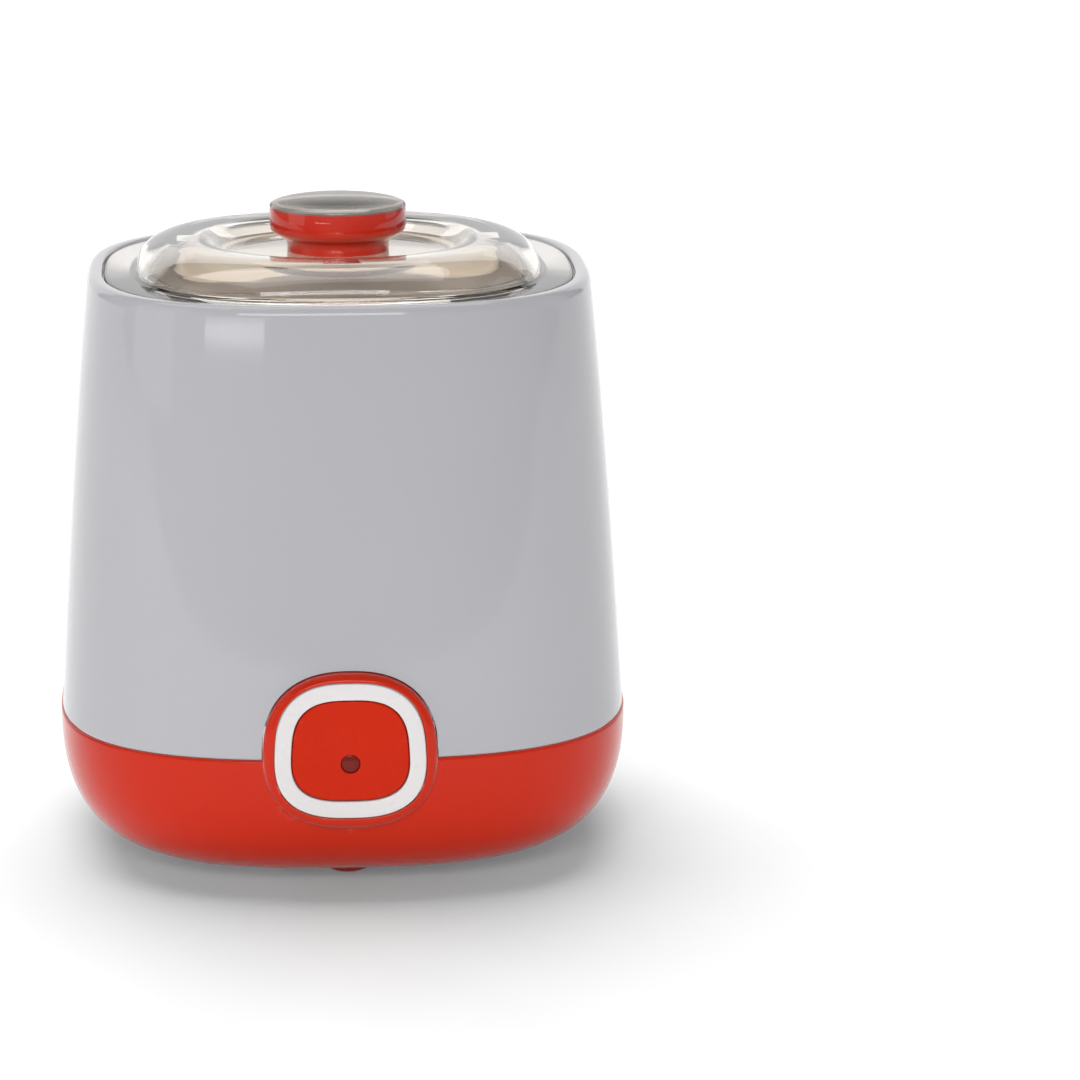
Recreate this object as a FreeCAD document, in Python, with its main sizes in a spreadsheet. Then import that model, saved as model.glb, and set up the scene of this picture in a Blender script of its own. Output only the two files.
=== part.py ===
"""Single-jar yogurt maker: a lidded jar warmed in an aluminium well inside a two-part plastic case.

Millimetres, +Z up. The origin is on the surface the maker stands on, under the middle of its case;
the front, with the power button, looks along -Y. The case, the lid's flange and the front panel share
one squarish outline made of eight tangent arcs; the well, the jar and the knob are round.
"""
import FreeCAD, Part
import math
import os
from types import SimpleNamespace

import Sketcher

Vector = FreeCAD.Vector
SHEET = "Dims"

# Driving dimensions: alias -> (millimetres, or a plain ratio, and what it is).
DIMENSIONS = {
    "side_bow": (1.98, "ratio: a side's arc is centred this many half-widths past the middle"),
    "corner_share": (0.69, "ratio: corner radius over half-width"),
    "wall": (2.4, "case wall"),
    "gap": (0.3, "visible gap between case parts"),
    "base_floor_half": (48.5, "half-width of the base's flat underside"),
    "base_floor_z": (2.0, "height of the underside over the table"),
    "base_rim_half": (88.5, "half-width of the base at its rim"),
    "base_rim_z": (43.8, "height of the base's rim"),
    "base_curve": (2.633, "exponent of the base's bowl profile"),
    "foot_circle": (53.0, "feet: distance from the middle"),
    "foot_tread": (4.2, "feet: radius where they stand"),
    "foot_radius": (6.3, "feet: radius against the base"),
    "foot_stem": (2.0, "feet: radius of the stem through the floor"),
    "housing_foot_half": (88.0, "half-width of the upper housing at its foot"),
    "housing_top_half": (78.3, "half-width of the upper housing below its lip"),
    "housing_bulge": (0.56, "how far the housing's side bows out of straight"),
    "housing_top_z": (176.9, "height where the lip starts to round over"),
    "lip_z": (180.1, "height of the top lip"),
    "lip_inner_half": (73.1, "half-width inside the lip"),
    "lip_rounding": (2.6, "how far the lip rounds inwards"),
    "ledge_z": (177.4, "height of the ledge the lid sits on"),
    "deck_under_z": (174.6, "underside of the deck round the well"),
    "deck_hole": (64.5, "radius of the deck's hole"),
    "skirt_wall": (2.4, "wall of the deck's downward skirt"),
    "skirt_z": (168.6, "lower edge of the skirt"),
    "well_radius": (63.5, "inside radius of the well"),
    "well_sheet": (1.0, "well sheet thickness"),
    "well_floor_z": (48.0, "top of the well's floor"),
    "well_flange_z": (167.0, "top of the well's flange"),
    "well_flange_half": (73.0, "half-width of the well's flange"),
    "well_flange_sheet": (1.2, "flange thickness"),
    "well_screw_at": (53.7, "well screws: x and y from the middle"),
    "post_at": (50.0, "case screws: x and y from the middle"),
    "post_radius": (4.5, "case screw posts: radius"),
    "post_head_z": (34.0, "height of the seat under a case screw's head"),
    "boss_top_z": (62.0, "top of the housing's screw bosses"),
    "boss_half_x": (26.2, "front boss: half-width"),
    "boss_half_z": (23.9, "front boss: half-height"),
    "boss_z": (47.1, "front boss: height of its middle"),
    "boss_front": (91.0, "front boss: distance of its face from the middle"),
    "boss_back": (80.0, "front boss: distance of its back from the middle"),
    "boss_bevel": (2.2, "front boss: rounding of its edge"),
    "panel_z": (47.45, "ring and button: height of their middle"),
    "ring_half_x": (22.6, "ring: outer half-width"),
    "ring_half_z": (20.75, "ring: outer half-height"),
    "ring_depth": (4.0, "ring: depth"),
    "button_half_x": (17.35, "button: half-width"),
    "button_half_z": (15.3, "button: half-height"),
    "button_face": (90.8, "button: distance of its face from the middle"),
    "button_flange": (79.6, "button: distance of its retaining flange's front"),
    "button_back": (78.0, "button: distance of its back"),
    "switch_z": (52.5, "switch: height of its middle"),
    "lamp_z": (43.4, "indicator lamp: height of its middle"),
    "board_face": (70.0, "control board: distance of its front"),
    "board_sheet": (1.6, "control board thickness"),
    "gland_z": (22.0, "cord gland: height"),
    "gland_end": (91.0, "cord gland: distance of its outer end from the middle"),
    "gland_bore": (3.5, "cord gland: radius of its bore"),
    "mat_radius": (50.0, "heating mat: radius"),
    "mat_sheet": (1.8, "heating mat thickness"),
    "plate_radius": (48.0, "heater clamp plate: radius"),
    "plate_sheet": (1.2, "heater clamp plate thickness"),
    "sensor_x": (28.0, "thermostat and thermal fuse: distance from the middle"),
    "wire_radius": (0.9, "internal wires: radius"),
    "jar_radius": (59.5, "jar: outer radius"),
    "jar_neck": (58.2, "jar: outer radius of the neck"),
    "jar_wall": (2.2, "jar: wall"),
    "jar_rim_z": (170.0, "jar: height of its rim"),
    "jar_shoulder_z": (157.5, "jar: height of the shoulder under the neck"),
    "jar_lid_low_z": (165.0, "jar lid: lower end of its skirt"),
    "jar_lid_radius": (61.0, "jar lid: outer radius"),
    "jar_lid_z": (174.0, "jar lid: height of its raised edge"),
    "flange_half": (72.7, "lid: half-width of the flange"),
    "flange_z": (179.6, "lid: top of the flange"),
    "dome_half": (62.6, "lid: half-width of the dome at the flange"),
    "crest_half": (50.0, "lid: half-width of the dome's flat crest"),
    "crest_z": (189.0, "lid: height of the crest"),
    "dish_radius": (39.5, "lid: radius of the sunken middle at the crest"),
    "dish_floor": (35.5, "lid: radius of the sunken middle's floor"),
    "dish_z": (184.8, "lid: height of the sunken middle"),
    "lid_wall": (2.2, "lid: wall"),
    "knob_radius": (21.2, "knob: radius of its disc"),
    "knob_neck": (15.8, "knob: radius of its neck"),
    "knob_low_z": (191.0, "knob: height of its disc's lower edge"),
    "knob_rim_z": (198.8, "knob: height of its rim, where the domed top starts"),
    "knob_z": (201.9, "knob: height of its domed top"),
    "knob_skin": (0.9, "knob: thickness of the clear skin round neck and disc"),
    "knob_dome_wall": (0.8, "knob: wall of the domed top"),
    "cap_sheet": (1.6, "knob: thickness of its cap"),
    "cap_edge": (0.4, "knob: thickness of the cap's edge, which lies on the core"),
    "cap_crown": (0.3, "knob: rise of the cap towards its middle"),
}


class Size:
    """A dimension with its value and the spreadsheet expression that gives it."""

    def __init__(self, value, text):
        self.value = value
        self.text = text

    def combine(self, other, sign, work):
        other = as_size(other)
        return Size(work(self.value, other.value), f"({self.text} {sign} {other.text})")

    def __add__(self, other):
        return self.combine(other, "+", lambda a, b: a + b)

    def __sub__(self, other):
        return self.combine(other, "-", lambda a, b: a - b)

    def __mul__(self, other):
        return self.combine(other, "*", lambda a, b: a * b)

    def __neg__(self):
        return as_size(-1) * self


def as_size(number):
    return number if isinstance(number, Size) else Size(float(number), repr(float(number)))


doc = FreeCAD.newDocument("YogurtMaker")
sheet = doc.addObject("Spreadsheet::Sheet", SHEET)
for row, (alias, (number, meaning)) in enumerate(DIMENSIONS.items(), start=1):
    sheet.set(f"A{row}", alias)
    sheet.set(f"B{row}", str(number))
    sheet.setAlias(f"B{row}", alias)
    sheet.set(f"C{row}", meaning)
doc.recompute()
d = SimpleNamespace(**{name: Size(sheet.get(name), f"{SHEET}.{name}") for name in DIMENSIONS})

nodes = []


def bind(thing, prop, size):
    """Tie one property to a size; a plain number is set as it is."""
    thing.setExpression(prop, as_size(size).text)


# ---------------------------------------------------------------- sketches


def new_body(label):
    body = doc.addObject("PartDesign::Body", label)
    body.Label = label
    nodes.append(body)
    return body


def new_sketch(body, name, role="XY_Plane", shift=(0, 0, 0)):
    """Sketch on one of the body's own origin planes, moved by shift in the sketch's own axes."""
    sketch = body.newObject("Sketcher::SketchObject", f"{body.Name}_{name}")
    plane = next(item for item in body.Origin.OriginFeatures if item.Role == role)
    sketch.AttachmentSupport = (plane, [""])
    sketch.MapMode = "FlatFace"
    for axis, size in zip("xyz", shift):
        bind(sketch, f"AttachmentOffset.Base.{axis}", size)
    return sketch


def pin(sketch, geometry, point, x, y):
    """Fix a point of the sketch at x, y, each tied to its size."""
    for kind, axis_line, size in (("DistanceX", -2, as_size(x)), ("DistanceY", -1, as_size(y))):
        if abs(size.value) < 1e-9:
            sketch.addConstraint(Sketcher.Constraint("PointOnObject", geometry, point, axis_line))
        else:
            index = sketch.addConstraint(Sketcher.Constraint(kind, geometry, point, size.value))
            sketch.setExpression(f"Constraints[{index}]", size.text)


def set_radius(sketch, geometry, size):
    index = sketch.addConstraint(Sketcher.Constraint("Radius", geometry, as_size(size).value))
    sketch.setExpression(f"Constraints[{index}]", as_size(size).text)


def polygon(sketch, corners):
    """Closed outline of straight sides."""
    first = sketch.GeometryCount
    spots = [Vector(as_size(x).value, as_size(y).value, 0) for x, y in corners]
    for start, end in zip(spots, spots[1:] + spots[:1]):
        sketch.addGeometry(Part.LineSegment(start, end))
    for i, (x, y) in enumerate(corners):
        before = first + (i - 1) % len(corners)
        sketch.addConstraint(Sketcher.Constraint("Coincident", before, 2, first + i, 1))
        pin(sketch, first + i, 1, x, y)


def circle(sketch, x, y, radius):
    at = Vector(as_size(x).value, as_size(y).value, 0)
    index = sketch.addGeometry(Part.Circle(at, Vector(0, 0, 1), as_size(radius).value))
    pin(sketch, index, 3, x, y)
    set_radius(sketch, index, radius)


def corner_centre(bow_x, bow_y, reach_x, reach_y):
    """Where circles about (-bow_x, 0) and (0, -bow_y) cross, up and to the right."""
    apart = math.hypot(bow_x, bow_y)
    along = (reach_x**2 - reach_y**2 + apart**2) / (2 * apart)
    aside = math.sqrt(reach_x**2 - along**2)
    x = -bow_x + (along * bow_x + aside * bow_y) / apart
    y = (aside * bow_x - along * bow_y) / apart
    return x, y


def squarish(sketch, half_x, half_y):
    """Squarish outline: four bowed sides and four round corners, all tangent."""
    first = sketch.GeometryCount
    half_x, half_y = as_size(half_x), as_size(half_y)
    bow_x, bow_y = d.side_bow * half_x, d.side_bow * half_y
    reach_x, reach_y = bow_x + half_x, bow_y + half_y
    corner = d.corner_share * (half_x + half_y) * 0.5
    cx, cy = corner_centre(
        bow_x.value, bow_y.value, reach_x.value - corner.value, reach_y.value - corner.value
    )
    low = math.atan2(cy, cx + bow_x.value)
    high = math.atan2(cy + bow_y.value, cx)
    turn = math.pi
    arcs = [
        (-bow_x.value, 0, reach_x, -low, low),
        (cx, cy, corner, low, high),
        (0, -bow_y.value, reach_y, high, turn - high),
        (-cx, cy, corner, turn - high, turn - low),
        (bow_x.value, 0, reach_x, turn - low, turn + low),
        (-cx, -cy, corner, turn + low, turn + high),
        (0, bow_y.value, reach_y, turn + high, 2 * turn - high),
        (cx, -cy, corner, 2 * turn - high, 2 * turn - low),
    ]
    for x, y, radius, start, end in arcs:
        ring = Part.Circle(Vector(x, y, 0), Vector(0, 0, 1), radius.value)
        sketch.addGeometry(Part.ArcOfCircle(ring, start, end))
    for i in range(8):
        after = first + (i + 1) % 8
        sketch.addConstraint(Sketcher.Constraint("Tangent", first + i, 2, after, 1))
    pin(sketch, first, 3, -bow_x, 0)
    pin(sketch, first + 4, 3, bow_x, 0)
    pin(sketch, first + 2, 3, 0, -bow_y)
    pin(sketch, first + 6, 3, 0, bow_y)
    for leader, followers in ((0, (4,)), (2, (6,)), (1, (3, 5, 7))):
        set_radius(sketch, first + leader, arcs[leader][2])
        for follower in followers:
            sketch.addConstraint(Sketcher.Constraint("Equal", first + leader, first + follower))


# ---------------------------------------------------------------- features


def finish_feature(body, feature, adds):
    """Recompute, and stop if the feature has not changed the body's volume the right way."""
    before = body.Tip_volume if hasattr(body, "Tip_volume") else 0.0
    doc.recompute()
    after = body.Shape.Volume
    if "Invalid" in feature.State or (after <= before if adds else after >= before):
        raise RuntimeError(f"{feature.Name}: volume {before:.1f} -> {after:.1f}, {feature.State}")
    if not hasattr(body, "Tip_volume"):
        body.addProperty("App::PropertyFloat", "Tip_volume", "Check", "volume after the last feature")
    body.Tip_volume = after
    return feature


def extrude(body, name, sketch, length, adds=True, flip=False):
    kind = "PartDesign::Pad" if adds else "PartDesign::Pocket"
    feature = body.newObject(kind, f"{body.Name}_{name}")
    feature.Profile = sketch
    bind(feature, "Length", length)
    feature.Reversed = flip
    return finish_feature(body, feature, adds)


def revolve(body, name, sketch, adds=True):
    kind = "PartDesign::Revolution" if adds else "PartDesign::Groove"
    feature = body.newObject(kind, f"{body.Name}_{name}")
    feature.Profile = sketch
    feature.ReferenceAxis = (sketch, ["V_Axis"])
    feature.Angle = 360
    return finish_feature(body, feature, adds)


def loft(body, name, sections, adds=True):
    """Smooth loft through level squarish sections, each a half-width and a height."""
    sketches = []
    for i, (half, height) in enumerate(sections):
        sketch = new_sketch(body, f"{name}{i}", shift=(0, 0, height))
        squarish(sketch, half, half)
        sketches.append(sketch)
    return loft_through(body, name, sketches, adds)


def loft_through(body, name, sketches, adds=True):
    kind = "PartDesign::AdditiveLoft" if adds else "PartDesign::SubtractiveLoft"
    feature = body.newObject(kind, f"{body.Name}_{name}")
    feature.Profile = sketches[0]
    feature.Sections = sketches[1:]
    return finish_feature(body, feature, adds)


def turned(label, corners):
    """Body made by revolving one outline of (radius, height) corners about Z."""
    body = new_body(label)
    sketch = new_sketch(body, "profile", "XZ_Plane")
    polygon(sketch, corners)
    revolve(body, "turn", sketch)
    return body


def front_pad(body, name, half_x, half_z, middle_z, start, length, adds=True):
    """Squarish block or pocket that starts at distance start in front and runs inwards."""
    sketch = new_sketch(body, name, "XZ_Plane", (0, middle_z, start))
    squarish(sketch, half_x, half_z)
    return extrude(body, f"{name}_run", sketch, length, adds, flip=adds)


def round_run(body, name, spots, radius, start, length, adds=True, role="XY_Plane"):
    """Round posts or holes at spots. On XY they run up from start; on XZ they run inwards from it."""
    sketch = new_sketch(body, name, role, (0, 0, start))
    for x, y in spots:
        circle(sketch, x, y, radius)
    inward = role == "XZ_Plane"
    return extrude(body, f"{name}_run", sketch, length, adds, flip=(adds == inward))


def corners_at(offset):
    return [(offset, offset), (-offset, offset), (-offset, -offset), (offset, -offset)]


# ---------------------------------------------------------------- plain solids


def cylinder(name, x, y, z, radius, height, turn=None):
    """Part cylinder; turn is the rotation of its axis away from +Z."""
    solid = doc.addObject("Part::Cylinder", name)
    bind(solid, "Radius", radius)
    bind(solid, "Height", height)
    for axis, size in zip("xyz", (x, y, z)):
        bind(solid, f"Placement.Base.{axis}", size)
    if turn:
        solid.Placement.Rotation = turn
    return solid


def cone(name, x, y, low_radius, high_radius, height):
    """Part cone standing on z = 0."""
    solid = doc.addObject("Part::Cone", name)
    bind(solid, "Radius1", low_radius)
    bind(solid, "Radius2", high_radius)
    bind(solid, "Height", height)
    bind(solid, "Placement.Base.x", x)
    bind(solid, "Placement.Base.y", y)
    return solid


def box(name, low, size):
    solid = doc.addObject("Part::Box", name)
    for prop, length in zip(("Length", "Width", "Height"), size):
        bind(solid, prop, length)
    for axis, place in zip("xyz", low):
        bind(solid, f"Placement.Base.{axis}", place)
    return solid


def fuse(name, solids):
    joined = doc.addObject("Part::MultiFuse", name)
    joined.Shapes = solids
    return joined


def cut(name, base, tools):
    """Base less one or several tools."""
    result = doc.addObject("Part::Cut", name)
    result.Base = base
    result.Tool = tools[0] if len(tools) == 1 else fuse(f"{name}_tools", tools)
    return result


def as_node(solid, label):
    solid.Label = label
    nodes.append(solid)
    return solid


TO_BACK = FreeCAD.Rotation(Vector(1, 0, 0), -90)


def screws(label, spots, seat_z, end_z, head_radius, head_height, shank_radius):
    """Upright pan-head screws in one node, each a head at seat_z and a shank that ends at end_z."""
    seat, end = as_size(seat_z), as_size(end_z)
    up = end.value > seat.value
    pieces = []
    for i, (x, y) in enumerate(spots):
        name = f"{label}_{i}"
        head_low = seat - head_height if up else seat
        shank_low, length = (seat, end - seat) if up else (end, seat - end)
        head = cylinder(f"{name}_head", x, y, head_low, head_radius, head_height)
        shank = cylinder(f"{name}_shank", x, y, shank_low, shank_radius, length)
        slot_low = head_low - 0.1 if up else head_low + (head_height - 0.9)
        slot = box(f"{name}_slot", (as_size(x) - head_radius, as_size(y) - 0.4, slot_low),
                   (2 * head_radius, 0.8, 1.0))
        pieces.append(cut(name, fuse(f"{name}_solid", [head, shank]), [slot]))
    group = doc.addObject("Part::Compound", label)
    group.Links = pieces
    return as_node(group, label)


# ---------------------------------------------------------------- base


def bowl_sections(floor_half, floor_z, rim_half, rim_z):
    """Sections of the bowl: a quarter superellipse from the flat floor up to the upright rim."""
    sections = []
    for angle in (0, 10, 22, 35, 48, 61, 75, 90):
        power = 2 / d.base_curve.value
        out = Size(
            math.sin(math.radians(angle)) ** power, f"(sin({angle} deg) ^ (2 / {SHEET}.base_curve))"
        )
        up = Size(
            1 - max(math.cos(math.radians(angle)), 0.0) ** power,
            f"(1 - cos({angle} deg) ^ (2 / {SHEET}.base_curve))",
        )
        if angle in (0, 90):
            out = up = as_size(angle / 90)
        sections.append((floor_half + (rim_half - floor_half) * out, floor_z + (rim_z - floor_z) * up))
    return sections


def make_base():
    body = new_body("base_shell")
    loft(body, "bowl", bowl_sections(d.base_floor_half, d.base_floor_z, d.base_rim_half, d.base_rim_z))
    inside = bowl_sections(
        d.base_floor_half - 1.5, d.base_floor_z + d.wall, d.base_rim_half - d.wall, d.base_rim_z
    )
    loft(body, "hollow", inside, adds=False)

    # An upstand inside the rim keys the upper housing and closes the joint.
    upstand_half = d.housing_foot_half - d.wall - 0.4
    upstand_low = d.base_rim_z - 6
    sketch = new_sketch(body, "upstand", shift=(0, 0, upstand_low))
    squarish(sketch, upstand_half, upstand_half)
    squarish(sketch, upstand_half - 1.8, upstand_half - 1.8)
    extrude(body, "upstand_run", sketch, 9)
    link = new_sketch(body, "upstand_web", shift=(0, 0, upstand_low))
    squarish(link, d.base_rim_half - 1, d.base_rim_half - 1)
    squarish(link, upstand_half - 1, upstand_half - 1)
    extrude(body, "upstand_web_run", link, 2)

    # The boss carries the panel and rises in front of the housing.
    shoulder = d.boss_front - d.boss_bevel
    front_pad(body, "boss", d.boss_half_x, d.boss_half_z, d.boss_z, shoulder, shoulder - d.boss_back)
    bevel = []
    for angle in (0, 30, 60, 90):
        inwards = d.boss_bevel * (1 - math.cos(math.radians(angle)))
        forwards = d.boss_bevel * math.sin(math.radians(angle))
        sketch = new_sketch(body, f"bevel{angle}", "XZ_Plane", (0, d.boss_z, shoulder + forwards))
        squarish(sketch, d.boss_half_x - inwards, d.boss_half_z - inwards)
        bevel.append(sketch)
    loft_through(body, "bevel", bevel)
    front_pad(body, "ring_seat", d.ring_half_x + d.gap, d.ring_half_z + d.gap, d.panel_z,
              d.boss_front, d.ring_depth, adds=False)
    front_pad(body, "button_hole", d.button_half_x + 0.75, d.button_half_z + 0.75, d.panel_z,
              d.boss_front, d.boss_front - d.boss_back + 6, adds=False)
    standoffs = [(x, d.panel_z + z) for x in (-20, 20) for z in (-15, 15)]
    round_run(body, "standoffs", standoffs, 3, d.boss_back + 0.5, d.boss_back - d.board_face + 0.5,
              role="XZ_Plane")
    round_run(body, "standoff_holes", standoffs, 1.3, d.board_face + 7, 8, adds=False, role="XZ_Plane")

    # Four posts take the case screws from below.
    posts = corners_at(d.post_at)
    round_run(body, "posts", posts, d.post_radius, 5, d.base_rim_z - 5)
    round_run(body, "post_wells", posts, 3.5, 0, d.post_head_z, adds=False)
    round_run(body, "post_holes", posts, 1.9, 0, d.base_rim_z + 1, adds=False)

    # Rear boss for the cord gland.
    rear = new_sketch(body, "gland_boss", "XZ_Plane", (0, 0, -80))
    circle(rear, 0, d.gland_z, 10.5)
    extrude(body, "gland_boss_run", rear, 8.6, flip=True)
    hole = new_sketch(body, "gland_hole", "XZ_Plane", (0, 0, -75))
    circle(hole, 0, d.gland_z, 6)
    extrude(body, "gland_hole_run", hole, 16, adds=False)

    # Posts and rib under the cord clamp, and holes for the feet.
    round_run(body, "clamp_posts", [(-8.5, 69), (8.5, 69)], 3.4, 6.5, 14)
    rib = new_sketch(body, "clamp_rib", shift=(0, 0, 6.5))
    polygon(rib, [(-3, 66), (3, 66), (3, 72), (-3, 72)])
    extrude(body, "clamp_rib_run", rib, 12)
    round_run(body, "clamp_holes", [(-8.5, 69), (8.5, 69)], 1.5, 12, 9, adds=False)
    round_run(body, "foot_holes", foot_spots(), d.foot_stem, 0, 8, adds=False)


def foot_spots():
    return [(0, -d.foot_circle), (d.foot_circle, 0), (0, d.foot_circle), (-d.foot_circle, 0)]


def make_feet():
    pieces = []
    for i, (x, y) in enumerate(foot_spots()):
        pad = cone(f"foot_{i}_pad", x, y, d.foot_tread, d.foot_radius, d.base_floor_z - 0.1)
        stem = cylinder(f"foot_{i}_stem", x, y, 1, d.foot_stem, d.wall + 3)
        knob = cylinder(f"foot_{i}_knob", x, y, d.wall + 3.2, d.foot_stem + 0.5, 0.8)
        soft = doc.addObject("Part::Fillet", f"foot_{i}")
        soft.Base = fuse(f"foot_{i}_solid", [pad, stem, knob])
        doc.recompute()
        rim = [n for n, edge in enumerate(soft.Base.Shape.Edges, start=1)
               if edge.BoundBox.ZMax < 0.01 and edge.BoundBox.DiagonalLength > 8]
        soft.Edges = [(n, 0.8, 0.8) for n in rim]
        pieces.append(soft)
    group = doc.addObject("Part::Compound", "rubber_feet")
    group.Links = pieces
    as_node(group, "rubber_feet")


# ---------------------------------------------------------------- upper housing


def housing_half(share):
    """Half-width of the housing at a share of its height, from foot (0) to lip (1)."""
    straight = d.housing_foot_half + (d.housing_top_half - d.housing_foot_half) * share
    return straight + d.housing_bulge * (4 * share * (1 - share))


def make_housing():
    body = new_body("upper_housing")
    low = d.base_rim_z + d.gap
    shares = (0, 0.25, 0.5, 0.75, 1)
    tall = d.housing_top_z - low
    loft(body, "skin", [(housing_half(s), low + tall * s) for s in shares])
    rounding = []
    for angle in (0, 30, 60, 90):
        inwards = 1 - math.cos(math.radians(angle))
        upwards = math.sin(math.radians(angle))
        rounding.append((d.housing_top_half - d.lip_rounding * inwards,
                         d.housing_top_z + (d.lip_z - d.housing_top_z) * upwards))
    loft(body, "lip", rounding)
    room = d.deck_under_z - low
    loft(body, "hollow", [(housing_half(s) - d.wall, low + room * s) for s in shares], adds=False)

    # Ledge for the lid, hole for the jar, and the skirt that presses on the well's seal.
    ledge = new_sketch(body, "ledge", shift=(0, 0, d.lip_z))
    squarish(ledge, d.lip_inner_half, d.lip_inner_half)
    extrude(body, "ledge_run", ledge, d.lip_z - d.ledge_z, adds=False)
    skirt = new_sketch(body, "skirt", shift=(0, 0, d.skirt_z))
    circle(skirt, 0, 0, d.deck_hole + d.skirt_wall)
    extrude(body, "skirt_run", skirt, d.deck_under_z - d.skirt_z + 0.5)
    round_run(body, "jar_hole", [(0, 0)], d.deck_hole, d.skirt_z - 1, 20, adds=False)

    # Bosses for the well's screws, hung from the deck.
    well_screws = corners_at(d.well_screw_at)
    round_run(body, "deck_bosses", well_screws, 3.5, d.well_flange_z,
              d.deck_under_z - d.well_flange_z + 0.5)
    round_run(body, "deck_pilots", well_screws, 1.3, d.well_flange_z - 1, 8, adds=False)

    # Bosses for the case screws, each tied to the wall by a rib across the corner.
    corner = corners_at(d.post_at)
    round_run(body, "foot_bosses", corner, d.post_radius - 0.3, d.base_rim_z,
              d.boss_top_z - d.base_rim_z)
    for i, (sx, sy) in enumerate(((1, 1), (-1, 1), (-1, -1), (1, -1))):
        rib = new_sketch(body, f"rib{i}", shift=(0, 0, d.base_rim_z + 4))
        near, far, half = d.post_at + 2, as_size(66.9), 1.0
        polygon(rib, [((near - half) * sx, (near + half) * sy), ((near + half) * sx, (near - half) * sy),
                      ((far + half) * sx, (far - half) * sy), ((far - half) * sx, (far + half) * sy)])
        extrude(body, f"rib{i}_run", rib, d.boss_top_z - d.base_rim_z - 5)
    round_run(body, "foot_pilots", corner, 1.5, d.base_rim_z - 1, d.boss_top_z - d.base_rim_z - 2,
              adds=False)
    front_pad(body, "boss_notch", d.boss_half_x + 0.4, d.boss_half_z + 0.4, d.boss_z,
              as_size(95), 20, adds=False)


# ---------------------------------------------------------------- well and heater


def make_well():
    outer = d.well_radius + d.well_sheet
    under = d.well_floor_z - d.well_sheet
    body = turned("heating_well", [
        (0, under), (outer - 3, under), (outer, under + 3), (outer, d.well_flange_z),
        (d.well_radius, d.well_flange_z), (d.well_radius, d.well_floor_z + 2.5),
        (d.well_radius - 2.5, d.well_floor_z), (0, d.well_floor_z),
    ])
    flange = new_sketch(body, "flange", shift=(0, 0, d.well_flange_z - d.well_flange_sheet))
    squarish(flange, d.well_flange_half, d.well_flange_half)
    circle(flange, 0, 0, d.well_radius + 0.5)
    extrude(body, "flange_run", flange, d.well_flange_sheet)
    round_run(body, "screw_holes", corners_at(d.well_screw_at), 1.6, d.well_flange_z - 5, 6, adds=False)

    turned("well_seal", [
        (d.deck_hole + 0.1, d.well_flange_z), (d.deck_hole + 4, d.well_flange_z),
        (d.deck_hole + 4, d.skirt_z), (d.deck_hole + 0.1, d.skirt_z),
    ])
    screws("well_screws", corners_at(d.well_screw_at), d.well_flange_z - d.well_flange_sheet,
           d.well_flange_z + 6, 2.8, 2.0, 1.25)


def make_heater():
    mat_top = d.well_floor_z - d.well_sheet
    mat_low = mat_top - d.mat_sheet
    plate_low = mat_low - d.plate_sheet
    turned("heater_mat", [(6, mat_low), (d.mat_radius, mat_low), (d.mat_radius, mat_top), (6, mat_top)])
    plate = turned("heater_clamp_plate", [
        (2.3, plate_low), (d.plate_radius, plate_low), (d.plate_radius, mat_low), (2.3, mat_low),
    ])
    holes = [(d.sensor_x, -12), (d.sensor_x, 12)]
    round_run(plate, "sensor_holes", holes, 1.55, plate_low - 1, d.plate_sheet + 2, adds=False)
    as_node(cylinder("well_stud", 0, 0, mat_top - 11, 2, 11), "well_stud")

    nut = new_body("clamp_nut")
    face = new_sketch(nut, "hexagon", shift=(0, 0, plate_low - 3.2))
    across = 4.05
    polygon(face, [(across * math.cos(math.radians(a)), across * math.sin(math.radians(a)))
                   for a in range(15, 375, 60)])
    circle(face, 0, 0, 2.1)
    extrude(nut, "thickness", face, 3.2)

    # Disc thermostat: can, two-hole bracket and two blades.
    can = cylinder("thermostat_can", d.sensor_x, 0, plate_low - 9, 8, 9)
    bracket = box("thermostat_bracket", (d.sensor_x - 3.5, -15.5, plate_low - 1), (7, 31, 1))
    bores = [cylinder(f"thermostat_bore{i}", d.sensor_x, y, plate_low - 3, 1.55, 5)
             for i, y in enumerate((-12, 12))]
    blades = [box(f"thermostat_blade{i}", (d.sensor_x - 3.1, y - 0.4, plate_low - 15), (6.2, 0.8, 7))
              for i, y in enumerate((-4, 4))]
    solid = fuse("thermostat_solid", [can, bracket, *blades])
    as_node(cut("thermostat", solid, bores), "thermostat")
    screws("thermostat_screws", holes, plate_low - 1, mat_low - 0.1, 2.6, 1.8, 1.4)

    # Thermal fuse lying along Y in its clip.
    fuse_z = plate_low - 2.1
    can = cylinder("thermal_fuse_can", -d.sensor_x, -7, fuse_z, 2, 14, TO_BACK)
    leads = cylinder("thermal_fuse_leads", -d.sensor_x, -11, fuse_z, 0.5, 22, TO_BACK)
    as_node(fuse("thermal_fuse", [can, leads]), "thermal_fuse")
    hoop = cylinder("fuse_clip_hoop", -d.sensor_x, -2.5, fuse_z, 2.9, 5, TO_BACK)
    legs = box("fuse_clip_legs", (-d.sensor_x - 2.9, -2.5, fuse_z), (5.8, 5, 2.1))
    tabs = box("fuse_clip_tabs", (-d.sensor_x - 7, -2.5, plate_low - 0.8), (14, 5, 0.8))
    hollow = cylinder("fuse_clip_hollow", -d.sensor_x, -3, fuse_z, 2.1, 6, TO_BACK)
    above = box("fuse_clip_above", (-d.sensor_x - 2.1, -3, fuse_z), (4.2, 6, 3))
    as_node(cut("fuse_clip", fuse("fuse_clip_solid", [hoop, legs, tabs]), [hollow, above]), "fuse_clip")


# ---------------------------------------------------------------- panel, switch and board


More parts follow.
